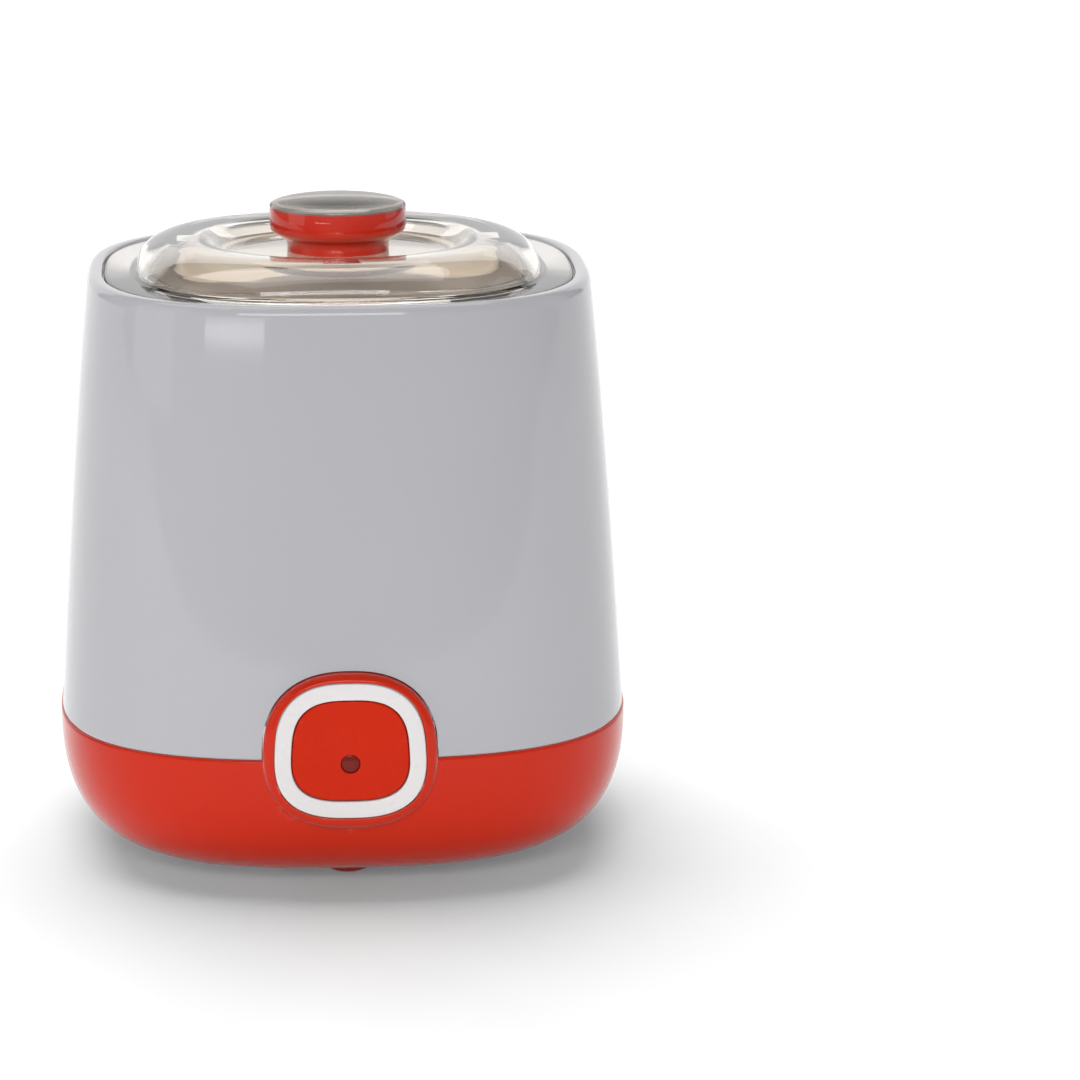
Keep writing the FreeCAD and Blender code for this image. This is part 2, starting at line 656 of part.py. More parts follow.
def make_panel():
    ring = new_body("panel_ring")
    sketch = new_sketch(ring, "outline", "XZ_Plane", (0, d.panel_z, d.boss_front))
    squarish(sketch, d.ring_half_x, d.ring_half_z)
    squarish(sketch, d.button_half_x + d.gap, d.button_half_z + d.gap)
    extrude(ring, "depth", sketch, d.ring_depth, flip=True)

    button = new_body("power_button")
    front_pad(button, "cap", d.button_half_x, d.button_half_z, d.panel_z, d.button_face,
              d.button_face - d.button_flange)
    front_pad(button, "flange", d.button_half_x + 1.9, d.button_half_z + 1.9, d.panel_z,
              d.button_flange, d.button_flange - d.button_back)
    inside = new_sketch(button, "inside", "XZ_Plane", (0, d.panel_z, d.button_face - d.wall))
    squarish(inside, d.button_half_x - 2, d.button_half_z - 2)
    extrude(button, "inside_run", inside, 20, adds=False)
    round_run(button, "stem", [(0, d.switch_z)], 2.5, d.button_face - d.wall + 0.5,
              d.button_face - d.wall - d.button_back + 1, role="XZ_Plane")
    round_run(button, "lamp_hole", [(0, d.lamp_z)], 2.9, d.button_face + 1, 5, adds=False,
              role="XZ_Plane")

    lens = new_body("indicator_lens")
    round_run(lens, "window", [(0, d.lamp_z)], 2.85, d.button_face - 0.2, 7, role="XZ_Plane")
    round_run(lens, "collar", [(0, d.lamp_z)], 3.6, d.button_face - d.wall, 1.2, role="XZ_Plane")

    plunger_front = d.button_back - 0.5
    plunger = new_body("switch_plunger")
    round_run(plunger, "rod", [(0, d.switch_z)], 2.0, plunger_front, 4, role="XZ_Plane")

    # Helical return spring between the switch and the inside of the cap.
    spring = new_body("button_spring")
    length = d.button_face - d.wall - d.board_face - 5.5
    pitch, wire = 2.1, 0.3
    section = new_sketch(spring, "section", "XZ_Plane")
    circle(section, 4, wire + 0.05, wire)
    helix = spring.newObject("PartDesign::AdditiveHelix", "button_spring_helix")
    helix.Profile = section
    helix.ReferenceAxis = (section, ["V_Axis"])
    helix.Mode = 0
    helix.Pitch = pitch
    bind(helix, "Height", length - 2 * wire - 0.1)
    doc.recompute()
    spring.Placement = FreeCAD.Placement(
        Vector(0, -(d.board_face.value + 5.5), d.switch_z.value),
        FreeCAD.Rotation(Vector(1, 0, 0), 90),
    )


def make_board():
    board = new_body("control_board")
    sketch = new_sketch(board, "outline", "XZ_Plane", (0, 0, d.board_face))
    polygon(sketch, [(-25, 25), (25, 25), (25, 68), (-25, 68)])
    for x in (-20, 20):
        for z in (-15, 15):
            circle(sketch, x, d.panel_z + z, 1.7)
    extrude(board, "sheet", sketch, d.board_sheet, flip=True)

    switch = new_body("push_switch")
    sketch = new_sketch(switch, "outline", "XZ_Plane", (0, d.switch_z, d.board_face + 5.5))
    polygon(sketch, [(-4.5, -4.5), (4.5, -4.5), (4.5, 4.5), (-4.5, 4.5)])
    extrude(switch, "case", sketch, 5.5, flip=True)
    round_run(switch, "plunger_hole", [(0, d.switch_z)], 2.3, d.board_face + 6, 5.5, adds=False,
              role="XZ_Plane")

    lamp = new_body("indicator_led")
    round_run(lamp, "dome", [(0, d.lamp_z)], 1.5, d.board_face + 7, 7, role="XZ_Plane")
    round_run(lamp, "collar", [(0, d.lamp_z)], 1.9, d.board_face + 2, 2, role="XZ_Plane")

    # Board screws run forwards into the standoffs.
    pieces = []
    back = -(d.board_face - d.board_sheet)
    for i, (x, z) in enumerate([(x, z) for x in (-20, 20) for z in (-15, 15)]):
        head = cylinder(f"board_screw{i}_head", x, back, d.panel_z + z, 2.7, 1.9, TO_BACK)
        shank = cylinder(f"board_screw{i}_shank", x, back - 7.5, d.panel_z + z, 1.25, 7.5, TO_BACK)
        pieces.append(fuse(f"board_screw{i}", [head, shank]))
    group = doc.addObject("Part::Compound", "board_screws")
    group.Links = pieces
    as_node(group, "board_screws")


# ---------------------------------------------------------------- supply


def make_supply():
    end = d.gland_end.value
    gland = new_body("cord_gland")
    for name, radius, start, length in (
        ("flange", 8.0, end, 2.4), ("neck", 5.9, end - 2.4, 11.1), ("barb", 6.6, end - 12, 1.5),
    ):
        sketch = new_sketch(gland, name, "XZ_Plane", (0, 0, -start))
        circle(sketch, 0, d.gland_z, radius)
        extrude(gland, f"{name}_run", sketch, length)
    sketch = new_sketch(gland, "bore", "XZ_Plane", (0, 0, -end - 1))
    circle(sketch, 0, d.gland_z, d.gland_bore)
    extrude(gland, "bore_run", sketch, 20, adds=False, flip=True)

    # Saddle over the cord, on two posts.
    low = 20.5
    bar = box("cord_clamp_bar", (-12, 65.5, low), (24, 7, 8.5))
    groove = cylinder("cord_clamp_groove", 0, 64, d.gland_z, 3.4, 10, TO_BACK)
    slot = box("cord_clamp_slot", (-3.4, 64, low - 1), (6.8, 10, d.gland_z - low + 1))
    bores = [cylinder(f"cord_clamp_bore{i}", x, 69, low - 1, 1.6, 12) for i, x in enumerate((-8.5, 8.5))]
    as_node(cut("cord_clamp", bar, [groove, slot, *bores]), "cord_clamp")
    screws("cord_clamp_screws", [(-8.5, 69), (8.5, 69)], low + 8.5, 13, 2.7, 1.9, 1.35)

    # Terminal block on the floor, with a row of wire holes and screw wells.
    floor = d.base_floor_z + d.wall
    block = box("terminal_block_body", (-15, 26, floor), (30, 14, 12))
    bores = [cylinder(f"terminal_bore{i}", x, 25, floor + 5, 1.5, 16, TO_BACK)
             for i, x in enumerate((-10, 0, 10))]
    wells = [cylinder(f"terminal_well{i}", x, y, floor + 6, 1.5, 7)
             for i, (x, y) in enumerate([(x, y) for x in (-10, 0, 10) for y in (29, 37)])]
    as_node(cut("terminal_block", block, bores + wells), "terminal_block")


def lead(label, route):
    """Insulated wire: straight runs joined by tangent arcs through the route's points."""
    radius = d.wire_radius.value
    spots = [Vector(*point) for point in route]
    edges = []
    start = spots[0]
    for before, corner, after in zip(spots, spots[1:], spots[2:]):
        into, out = (corner - before), (after - corner)
        trim = 0.45 * min(into.Length, out.Length)
        into.normalize()
        out.normalize()
        leave, join = corner - into * trim, corner + out * trim
        half_turn = into.getAngle(out) / 2
        bend = trim / math.tan(half_turn)
        inner = out - into
        inner.normalize()
        centre = corner + inner * (bend / math.cos(half_turn))
        middle = centre - inner * bend
        edges.append(Part.LineSegment(start, leave).toShape())
        edges.append(Part.Arc(leave, middle, join).toShape())
        start = join
    edges.append(Part.LineSegment(start, spots[-1]).toShape())
    spine = Part.Wire(edges)
    ring = Part.Wire([Part.makeCircle(radius, spots[0], spots[1] - spots[0])])
    solid = spine.makePipeShell([ring], True, True)
    piece = doc.addObject("Part::Feature", label)
    piece.Shape = solid
    piece.Placement = FreeCAD.Placement()
    return as_node(piece, label)


def make_leads():
    """Four wires: supply to board and mat, board to thermostat, thermostat to fuse."""
    block_front = 26
    wire_z = (d.base_floor_z + d.wall).value + 5
    board_back = -(d.board_face - d.board_sheet).value
    blade_z = (d.well_floor_z - d.well_sheet - d.mat_sheet - d.plate_sheet).value - 15
    fuse_z = blade_z + 12.9
    sensor = d.sensor_x.value
    mat_low = (d.well_floor_z - d.well_sheet - d.mat_sheet).value
    lead("lead_supply_live", [
        (-10, block_front, wire_z), (-10, 8, wire_z), (-14, -18, 8), (-14, -46, 15),
        (-12, -60, 32), (-12, board_back, 32),
    ])
    lead("lead_supply_neutral", [
        (10, block_front, wire_z), (10, 12, wire_z), (24, 6, 12), (40, 20, 16), (49, 4, 24),
        (49.2, 0, 34), (49.2, 0, mat_low),
    ])
    lead("lead_board_thermostat", [
        (12, board_back, 32), (12, -60, 32), (16, -44, 18), (sensor - 1, -20, 14),
        (sensor, -4, 18), (sensor, -4, blade_z),
    ])
    lead("lead_thermostat_fuse", [
        (sensor, 4, blade_z), (sensor, 4, 22), (14, 8, 17), (-10, 14, 17), (-24, 22, 24),
        (-sensor, 20, 36), (-sensor, 17, fuse_z), (-sensor, 11, fuse_z),
    ])


# ---------------------------------------------------------------- jar


def make_jar():
    bottom = d.well_floor_z
    inner = d.jar_radius - d.jar_wall
    turned("jar", [
        (0, bottom + 2), (46, bottom + 2), (48, bottom), (54, bottom), (d.jar_radius, bottom + 6),
        (d.jar_radius, d.jar_shoulder_z), (d.jar_neck, d.jar_shoulder_z + 1.5),
        (d.jar_neck, d.jar_rim_z - 4), (d.jar_neck + 0.6, d.jar_rim_z - 3),
        (d.jar_neck + 0.6, d.jar_rim_z - 1), (d.jar_neck - 0.4, d.jar_rim_z),
        (d.jar_neck - 1.8, d.jar_rim_z), (d.jar_neck - d.jar_wall, d.jar_rim_z - 0.8),
        (d.jar_neck - d.jar_wall, d.jar_shoulder_z - 1), (inner, d.jar_shoulder_z - 4),
        (inner, bottom + 9), (inner - 5, bottom + 4.6), (0, bottom + 4.6),
    ])
    edge = d.jar_lid_radius
    sheet = 1.8
    turned("jar_lid", [
        (0, d.jar_rim_z + 0.2), (d.jar_neck + 1.1, d.jar_rim_z + 0.2),
        (d.jar_neck + 1.1, d.jar_lid_low_z), (edge, d.jar_lid_low_z),
        (edge, d.jar_lid_z - 1.2), (edge - 1.2, d.jar_lid_z), (edge - 3.2, d.jar_lid_z),
        (edge - 4.6, d.jar_rim_z + sheet + 0.2), (24, d.jar_rim_z + sheet + 0.2),
        (22, d.jar_rim_z + sheet + 1.2), (0, d.jar_rim_z + sheet + 1.2),
    ])


# ---------------------------------------------------------------- lid and knob


def make_lid():
    body = new_body("lid_shell")
    flange = new_sketch(body, "flange", shift=(0, 0, d.ledge_z))
    squarish(flange, d.flange_half, d.flange_half)
    extrude(body, "flange_run", flange, d.flange_z - d.ledge_z)
    drop = d.dome_half - d.crest_half
    rise = d.crest_z - d.flange_z
    dome = []
    for angle in (0, 22, 45, 67, 90):
        inwards = 1 - math.cos(math.radians(angle))
        upwards = math.sin(math.radians(angle))
        dome.append((d.dome_half - drop * inwards, d.flange_z + rise * upwards))
    loft(body, "dome", dome)
    dish = new_sketch(body, "dish", "XZ_Plane")
    polygon(dish, [(0, d.dish_z), (d.dish_floor, d.dish_z), (d.dish_radius, d.crest_z),
                   (d.dish_radius, d.crest_z + 2), (0, d.crest_z + 2)])
    revolve(body, "dish_turn", dish, adds=False)

    # Hollow underside: one cavity up to the dish's floor and a groove up into the crest.
    under = d.dish_z - d.lid_wall
    inner = d.dome_half - d.lid_wall
    loft(body, "under", [(inner + 0.2, d.ledge_z - 0.5), (inner - 0.2, d.flange_z),
                         (inner - 1.6, under)], adds=False)
    groove = new_sketch(body, "crest", "XZ_Plane")
    polygon(groove, [(d.dish_radius + 2, under - 0.5), (d.dish_radius + 12, under - 0.5),
                     (d.dish_radius + 9, d.crest_z - 3), (d.dish_radius + 4, d.crest_z - d.lid_wall)])
    revolve(body, "crest_turn", groove, adds=False)

    # The spigot under the flange centres the lid in the deck's hole.
    spigot = new_sketch(body, "spigot", "XZ_Plane")
    polygon(spigot, [(d.deck_hole - 2.3, d.deck_under_z - 1), (d.deck_hole - 0.7, d.deck_under_z - 1),
                     (d.deck_hole - 0.7, d.ledge_z + 0.5), (d.deck_hole - 2.3, d.ledge_z + 0.5)])
    revolve(body, "spigot_turn", spigot)
    round_run(body, "screw_hole", [(0, 0)], 2.0, under - 2, 8, adds=False)


def arc_points(radius, start_z, rise, share=1.0, steps=6):
    """Points of a flat arch over the axis, from its foot (or a share of it) to the middle."""
    points = []
    for i in range(steps + 1):
        angle = math.radians(90 * i / steps)
        points.append((radius * share * math.cos(angle), start_z + rise * math.sin(angle)))
    return points


def make_knob():
    """A red spool with a grey cap, inside a clear skin whose top is a low hollow dome."""
    low, disc_low, rim = d.dish_z, d.knob_low_z, d.knob_rim_z
    neck, disc = d.knob_neck, d.knob_radius
    inner_neck, inner_disc = neck - d.knob_skin, disc - d.knob_skin
    cap_top = rim - 0.2
    cap_low, edge_low, seat = cap_top - d.cap_sheet, cap_top - d.cap_edge, inner_disc - 1.2
    inside = [(inner_neck, low), (inner_neck, low + 2.8), (neck, low + 4.3), (neck + 1.7, disc_low - 0.7),
              (inner_disc - 0.4, disc_low + 0.9), (inner_disc, disc_low + 1.7)]
    outside = [(neck, low), (neck, low + 2.2), (neck + 1.1, low + 3.9), (neck + 2.2, disc_low - 1.8),
               (disc - 0.4, disc_low), (disc, disc_low + 1.2)]
    dome = arc_points(disc, rim, d.knob_z - rim)
    ceiling = arc_points(inner_disc, cap_top, d.knob_z - d.knob_dome_wall - cap_top)
    turned("knob_shell", outside + dome + ceiling[::-1] + inside[::-1])

    top = [(inner_disc, edge_low), (seat, edge_low), (seat, cap_low), (0, cap_low)]
    core = turned("knob_core", [(0, low)] + inside + top)
    round_run(core, "screw_pilot", [(0, 0)], 1.5, low - 1, 9.5, adds=False)
    crown = arc_points(inner_disc, cap_top, d.cap_crown, share=0.96)
    turned("knob_cap", top[::-1] + [(inner_disc, cap_top)] + crown)
    screws("knob_screw", [(0, 0)], low - d.lid_wall, low + 7.5, 3.6, 2.0, 1.4)


make_base()
make_feet()
make_housing()
make_well()
make_heater()
make_panel()
make_board()
make_supply()
make_leads()
screws("housing_screws", corners_at(d.post_at), d.post_head_z, d.boss_top_z - 4, 3.2, 2.2, 1.4)
make_jar()
make_lid()
make_knob()
doc.recompute()

for item in doc.Objects:
    if "Invalid" in item.State or "Error" in item.State:
        raise RuntimeError(f"{item.Name} did not compute: {item.State}")

os.makedirs("parts", exist_ok=True)
for node in nodes:
    shape = node.Shape
    if shape.isNull() or not shape.isValid():
        raise RuntimeError(f"{node.Label} has no valid shape")
    shape.exportStep(os.path.join("parts", f"{node.Label}.step"))
    box_size = shape.BoundBox
    print(f"{node.Label:22s} {shape.Volume:10.1f} mm3  solids {len(shape.Solids)}  "
          f"{box_size.XLength:6.1f} {box_size.YLength:6.1f} {box_size.ZLength:6.1f}")
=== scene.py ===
import math
from collections import namedtuple

import bpy
import bmesh
from mathutils import Matrix, Vector


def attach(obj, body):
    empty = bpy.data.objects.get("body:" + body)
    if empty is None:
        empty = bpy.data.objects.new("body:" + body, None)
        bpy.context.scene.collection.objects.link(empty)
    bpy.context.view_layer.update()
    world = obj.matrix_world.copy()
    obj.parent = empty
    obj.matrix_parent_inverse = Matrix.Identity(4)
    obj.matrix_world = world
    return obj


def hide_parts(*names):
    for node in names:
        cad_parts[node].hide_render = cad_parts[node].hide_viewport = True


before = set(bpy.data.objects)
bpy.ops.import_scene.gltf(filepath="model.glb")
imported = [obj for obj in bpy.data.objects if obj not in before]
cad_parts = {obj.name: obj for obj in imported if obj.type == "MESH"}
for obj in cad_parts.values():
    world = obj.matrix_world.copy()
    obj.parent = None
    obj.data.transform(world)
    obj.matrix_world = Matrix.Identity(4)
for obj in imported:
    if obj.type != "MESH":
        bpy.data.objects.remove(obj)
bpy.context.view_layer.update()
slots = {name: node.material_slots[0].material.name for name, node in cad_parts.items()}

# A yogurt maker on a pale table. Shapes are given in millimetres and built in metres, Z up,
# with the panel facing -Y. Every shell is a run of superellipse sections: power 2 is round,
# SQUARISH is the case's plan.

MM = 0.001
SEGMENTS = 240
SQUARISH = 2.8
ROUND = 2.0
SHARP_ANGLE = math.radians(32)

# Case
BASE_FLOOR_Z, BASE_RIM_Z = 2.0, 43.8
BASE_FLOOR_HALF, BASE_SPREAD, BASE_MIDDLE = 48.5, 40.0, 24.0
BOWL_CURVE, BOWL_STEPS = 2 / 2.633, 40
CASE_WALL = 2.4
HOUSING_LOW_Z, HOUSING_HIGH_Z, LIP_Z = 44.1, 176.9, 180.1
HOUSING_LOW_HALF, HOUSING_HIGH_HALF, HOUSING_BULGE = 88.0, 78.3, 0.56
HOUSING_FOOT_HALF = 87.6
LEDGE_Z, DECK_UNDER_Z, SKIRT_Z = 177.4, 174.6, 168.6
LEDGE_SHOWN_Z = LEDGE_Z - 0.1
DECK_HOLE, SKIRT_OUT, LEDGE_MIDDLE, DECK_MIDDLE = 64.5, 66.9, 69.0, 70.0
UPSTAND_Z, UPSTAND_OUT, UPSTAND_IN = 46.8, 85.2, 83.4
SHOULDER_DROP, SHOULDER_FROM, SHOULDER_RUN = 0.35, 0.72, 0.56
LIP_ROUND, LIP_INNER = 2.6, 73.1
POST_AT, POST_RADIUS, POST_LOW_Z, POST_HIGH_Z = 50.0, 4.5, 5.0, 38.5
HEAD_WELL_RADIUS, HEAD_WELL_Z, SCREW_HOLE_RADIUS = 3.5, 34.0, 1.9
GLAND_Z, GLAND_BOSS_Y, GLAND_DEEP_Y = 22.0, 88.6, 80.0
GLAND_BOSS_RADIUS, GLAND_HOLE_RADIUS = 10.5, 6.0
FOOT_CIRCLE, FOOT_TREAD, FOOT_RADIUS, FOOT_SIDE_Z, FOOT_TOP_Z = 53.0, 4.6, 7.2, 1.2, 2.3

# Panel
FRAME_HALF, FRAME_LESS, FRAME_Z, FRAME_POWER, FRAME_TAPER = 26.2, 2.4, 47.0, 2.4, 0.035
FRAME_FRONT_Y, FRAME_BACK_Y = -88.0, -80.0
FLARE_RUN, FLARE_OUT, FLARE_FADE = 2.2, 1.5, 12.0
NOTCH_GAP, NOTCH_BACK_Y = 0.35, -78.0
PANEL_Z, PANEL_TAPER = 47.45, 0.05
SEAT_HALF, SEAT_LESS, RING_HALF, RING_POWER = 23.0, 1.85, 22.6, 2.68
OPENING_HALF, OPENING_LESS, OPENING_POWER = 17.75, 2.05, 2.95
BUTTON_HALF, BUTTON_FLANGE_HALF = 17.35, 19.35
PANEL_Y, SEAT_Y, BUTTON_Y = -91.0, -87.0, -90.8
BUTTON_FLANGE_Y, BUTTON_BACK_Y = -79.6, -78.0
LENS_Z, LENS_RADIUS, LENS_PLAY = 43.4, 2.85, 0.08
LENS_BORE, LENS_COLLAR, LENS_MIDDLE = 3.7, 3.6, 1.6
LENS_FRONT_Y, LENS_STEP_Y, LENS_BACK_Y = -90.6, -85.0, -83.6
GAP = 0.3

# Lid, knob and jar
FLANGE_HALF, FLANGE_Z = 72.7, 179.6
DOME_HALF, CREST_HALF, CREST_Z = 62.6, 50.0, 189.0
DISH_RADIUS, DISH_FLOOR, DISH_Z = 39.5, 35.5, 184.8
LID_WALL, CREST_POWER, DISH_EDGE_POWER = 2.2, 2.3, 2.05
SPIGOT_IN, SPIGOT_OUT, SPIGOT_LOW_Z = 62.2, 63.8, 173.6
KNOB_NECK, KNOB_RADIUS, KNOB_SKIN = 15.8, 21.2, 0.9
KNOB_LOW_Z, KNOB_RIM_Z, KNOB_TOP_Z = 191.0, 198.8, 201.9
NECK_TOP_RISE, NECK_FLARE_RISE, NECK_FLARE_OUT = 2.2, 3.8, 1.1
UNDERSIDE_OUT, UNDERSIDE_DROP, DISC_EDGE_RISE = 2.3, 1.7, 1.3
DOME_WALL, DOME_FOOT_WALL = 0.8, 0.5
CAP_CROWN, CAP_INSET, CAP_SHEET, CAP_EDGE, CAP_OVERHANG, CAP_DROP = 0.3, 0.5, 1.6, 0.4, 1.2, 0.2
BITE = 0.05  # how far the skin of the knob runs into the core and the lid
JAR_RADIUS, JAR_NECK, JAR_LOW_Z, JAR_SHOULDER_Z, JAR_RIM_Z = 59.5, 58.2, 48.0, 157.5, 170.0
JAR_WALL, JAR_FLOOR, JAR_FOOT_IN, JAR_FOOT_OUT, JAR_PUNT = 3.0, 4.6, 48.0, 54.0, 2.0
JAR_LID_RADIUS, JAR_LID_LOW_Z, JAR_LID_Z = 61.0, 165.0, 174.0
JAR_LID_STEP, JAR_LID_PLAY = 24.0, 1.1


# ---------------------------------------------------------------- shapes


Section = namedtuple("Section", "half level radius power less middle taper",
                     defaults=(0.0, SQUARISH, 0.0, 0.0, 0.0))
# half: half-width; level: place along the run; radius: how much the profile's corner is softened;
# power: shape of the outline; less: how much shorter the outline is than wide; middle: its shift
# along its height; taper: how much narrower its top is than its middle.


def quarter(steps):
    """Cosine and sine at even turns from nought to a right angle."""
    turns = [math.pi / 2 * i / steps for i in range(steps + 1)]
    return [(math.cos(turn), math.sin(turn)) for turn in turns]


def outline(cut):
    """Points round one section."""
    tall = cut.half - cut.less
    points = []
    for i in range(SEGMENTS):
        angle = 2 * math.pi * i / SEGMENTS
        across, along = math.cos(angle), math.sin(angle)
        total = abs(across / cut.half) ** cut.power + abs(along / tall) ** cut.power
        reach = total ** (-1 / cut.power)
        u, v = reach * across, reach * along
        points.append((u * (1 - cut.taper * v / tall), v + cut.middle))
    return points


def rounded(sections, steps=6):
    """The same run of sections with its corners softened."""
    profile = []
    for i, cut in enumerate(sections):
        if not cut.radius:
            profile.append(cut)
            continue
        here = Vector((cut.half, cut.level))
        ends = []
        for other in (sections[i - 1], sections[(i + 1) % len(sections)]):
            away = Vector((other.half, other.level)) - here
            ends.append(here + away.normalized() * min(cut.radius, away.length * 0.48))
        for k in range(steps + 1):
            t = k / steps
            at = ends[0] * (1 - t) ** 2 + here * (2 * t * (1 - t)) + ends[1] * t ** 2
            profile.append(cut._replace(half=at.x, level=at.y))
    return profile


def upright(u, v, level):
    return u, v, level


def facing_front(u, v, level):
    return u, level, v


def mesh_piece(name, mesh):
    """An object from a bmesh, which it uses up."""
    bmesh.ops.recalc_face_normals(mesh, faces=mesh.faces)
    data = bpy.data.meshes.new(name)
    mesh.to_mesh(data)
    mesh.free()
    piece = bpy.data.objects.new(name, data)
    bpy.context.scene.collection.objects.link(piece)
    return piece


def solid(name, sections, place=upright, reshape=None):
    """A closed piece through a loop of sections; a half of nought is a point on the middle line.
    reshape may move each point of a section."""
    mesh = bmesh.new()
    rows = []
    for cut in rounded(sections):
        points = outline(cut) if cut.half > 0 else [(0, cut.middle)]
        if reshape:
            points = [reshape(u, v, cut.level) for u, v in points]
        rows.append([mesh.verts.new(Vector(place(u, v, cut.level)) * MM) for u, v in points])
    for low, high in zip(rows, rows[1:] + rows[:1]):
        if len(low) == len(high) == 1:
            continue
        for i in range(SEGMENTS):
            j = (i + 1) % SEGMENTS
            around = [low[i % len(low)], low[j % len(low)],
                      high[j % len(high)], high[i % len(high)]]
            mesh.faces.new(dict.fromkeys(around))
    return mesh_piece(name, mesh)


def turned(corners):
    """Sections of a round piece from (radius, height, softening) corners."""
    return [Section(half, level, radius, ROUND) for half, level, radius in corners]


def rods(name, spots, radius, low, high, direction="Z"):
    """Round rods standing at the spots, as one tool or one piece."""
    mesh = bmesh.new()
    middle = (low + high) / 2
    for x, y in spots:
        if direction == "Z":
            place = Matrix.Translation(Vector((x, y, middle)) * MM)
        else:
            place = (Matrix.Translation(Vector((x, middle, y)) * MM)
                     @ Matrix.Rotation(math.pi / 2, 4, "X"))
        bmesh.ops.create_cone(mesh, cap_ends=True, segments=48, radius1=radius * MM,
                              radius2=radius * MM, depth=(high - low) * MM, matrix=place)
    return mesh_piece(name, mesh)


def combine(piece, tool, operation):
    """Adds the tool to the piece, or cuts it away."""
    step = piece.modifiers.new(operation, "BOOLEAN")
    step.operation, step.solver, step.object = operation, "EXACT", tool
    seen = piece.evaluated_get(bpy.context.evaluated_depsgraph_get())
    shaped = bpy.data.meshes.new_from_object(seen)
    piece.modifiers.clear()
    piece.data = shaped
    bpy.data.objects.remove(tool)


def mix(a, b, share):
    return a + (b - a) * share


def smooth(share):
    share = min(1.0, max(0.0, share))
    return share * share * (3 - 2 * share)


# ---------------------------------------------------------------- materials


def add(tree, kind, inputs=None, **settings):
    """A node with its settings and input values; an input given as a socket is linked."""
    node = tree.nodes.new(kind)
    for name, value in settings.items():
        setattr(node, name, value)
    for name, value in (inputs or {}).items():
        if isinstance(value, bpy.types.NodeSocket):
            tree.links.new(value, node.inputs[name])
        else:
            node.inputs[name].default_value = value
    return node


def noise(tree, scale, detail=3.0, stretch=(1, 1, 1)):
    """Noise in the piece's own place; scale is per metre."""
    at = add(tree, "ShaderNodeTexCoord").outputs["Object"]
    if stretch != (1, 1, 1):
        at = add(tree, "ShaderNodeMapping", {"Vector": at, "Scale": stretch}).outputs["Vector"]
    cloud = add(tree, "ShaderNodeTexNoise", {"Vector": at, "Scale": scale, "Detail": detail})
    return cloud.outputs["Fac"]


def spread(tree, value, low, high, start=0.35, stop=0.65):
    """Maps a noise to a range."""
    return add(tree, "ShaderNodeMapRange", {"Value": value, "From Min": start, "From Max": stop,
                                            "To Min": low, "To Max": high}).outputs["Result"]


def shade(colour, factor):
    return tuple(min(1.0, c * factor) for c in colour[:3]) + (1.0,)


def blended(tree, factor, first, second):
    node = add(tree, "ShaderNodeMix", data_type="RGBA")
    sockets = (node.inputs[0], node.inputs[6], node.inputs[7])
    for socket, value in zip(sockets, (factor, first, second)):
        if isinstance(value, bpy.types.NodeSocket):
            tree.links.new(value, socket)
        else:
            socket.default_value = value
    return node.outputs[2]


def fresh_material(name):
    """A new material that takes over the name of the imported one."""
    packed = bpy.data.materials.get(name)
    if packed:
        packed.name = name + "_packed"
    material = bpy.data.materials.new(name)
    material.use_nodes = True
    return material


def surface(name, colour, rough, mottle=0.03, cloud=14, grain=1800, depth=0.004, wave=0.0, wear=0.1,
            metal=0.0, stretch=(1, 1, 1), **sockets):
    """A moulded or machined surface: mottled colour, uneven gloss, fine grain, slow waves of the
    moulding, and lighter, duller worn edges."""
    material = fresh_material(name)
    tree = material.node_tree
    shader = tree.nodes["Principled BSDF"]
    shader.inputs["Metallic"].default_value = metal
    for socket, value in sockets.items():
        shader.inputs[socket.replace("_", " ").title().replace("Ior", "IOR")].default_value = value

    clouds = noise(tree, cloud, 4.0, stretch)
    fine = noise(tree, grain, 2.0, stretch)
    tone = blended(tree, spread(tree, clouds, 0, 1), shade(colour, 1 - mottle),
                   shade(colour, 1 + mottle))
    edge = add(tree, "ShaderNodeNewGeometry").outputs["Pointiness"]
    patches = {0: spread(tree, edge, 0, wear, 0.53, 0.62), 1: spread(tree, fine, 0.3, 1)}
    worn = add(tree, "ShaderNodeMath", patches, operation="MULTIPLY").outputs[0]
    tone = blended(tree, worn, tone, shade([mix(c, 1, 0.35) for c in colour[:3]], 1))
    tree.links.new(tone, shader.inputs["Base Color"])

    gloss = spread(tree, noise(tree, cloud * 5, 5.0, stretch), rough * 0.86, rough * 1.14)
    gloss = add(tree, "ShaderNodeMath", {0: gloss, 1: worn}, operation="ADD").outputs[0]
    tree.links.new(gloss, shader.inputs["Roughness"])

    bump = add(tree, "ShaderNodeBump", {"Height": fine, "Strength": 0.5, "Distance": depth * MM})
    normal = bump.outputs["Normal"]
    if wave:
        waves = add(tree, "ShaderNodeBump", {"Height": noise(tree, 28, 1.0), "Strength": 1.0,
                                             "Distance": wave * MM, "Normal": normal})
        normal = waves.outputs["Normal"]
    tree.links.new(normal, shader.inputs["Normal"])
    return material


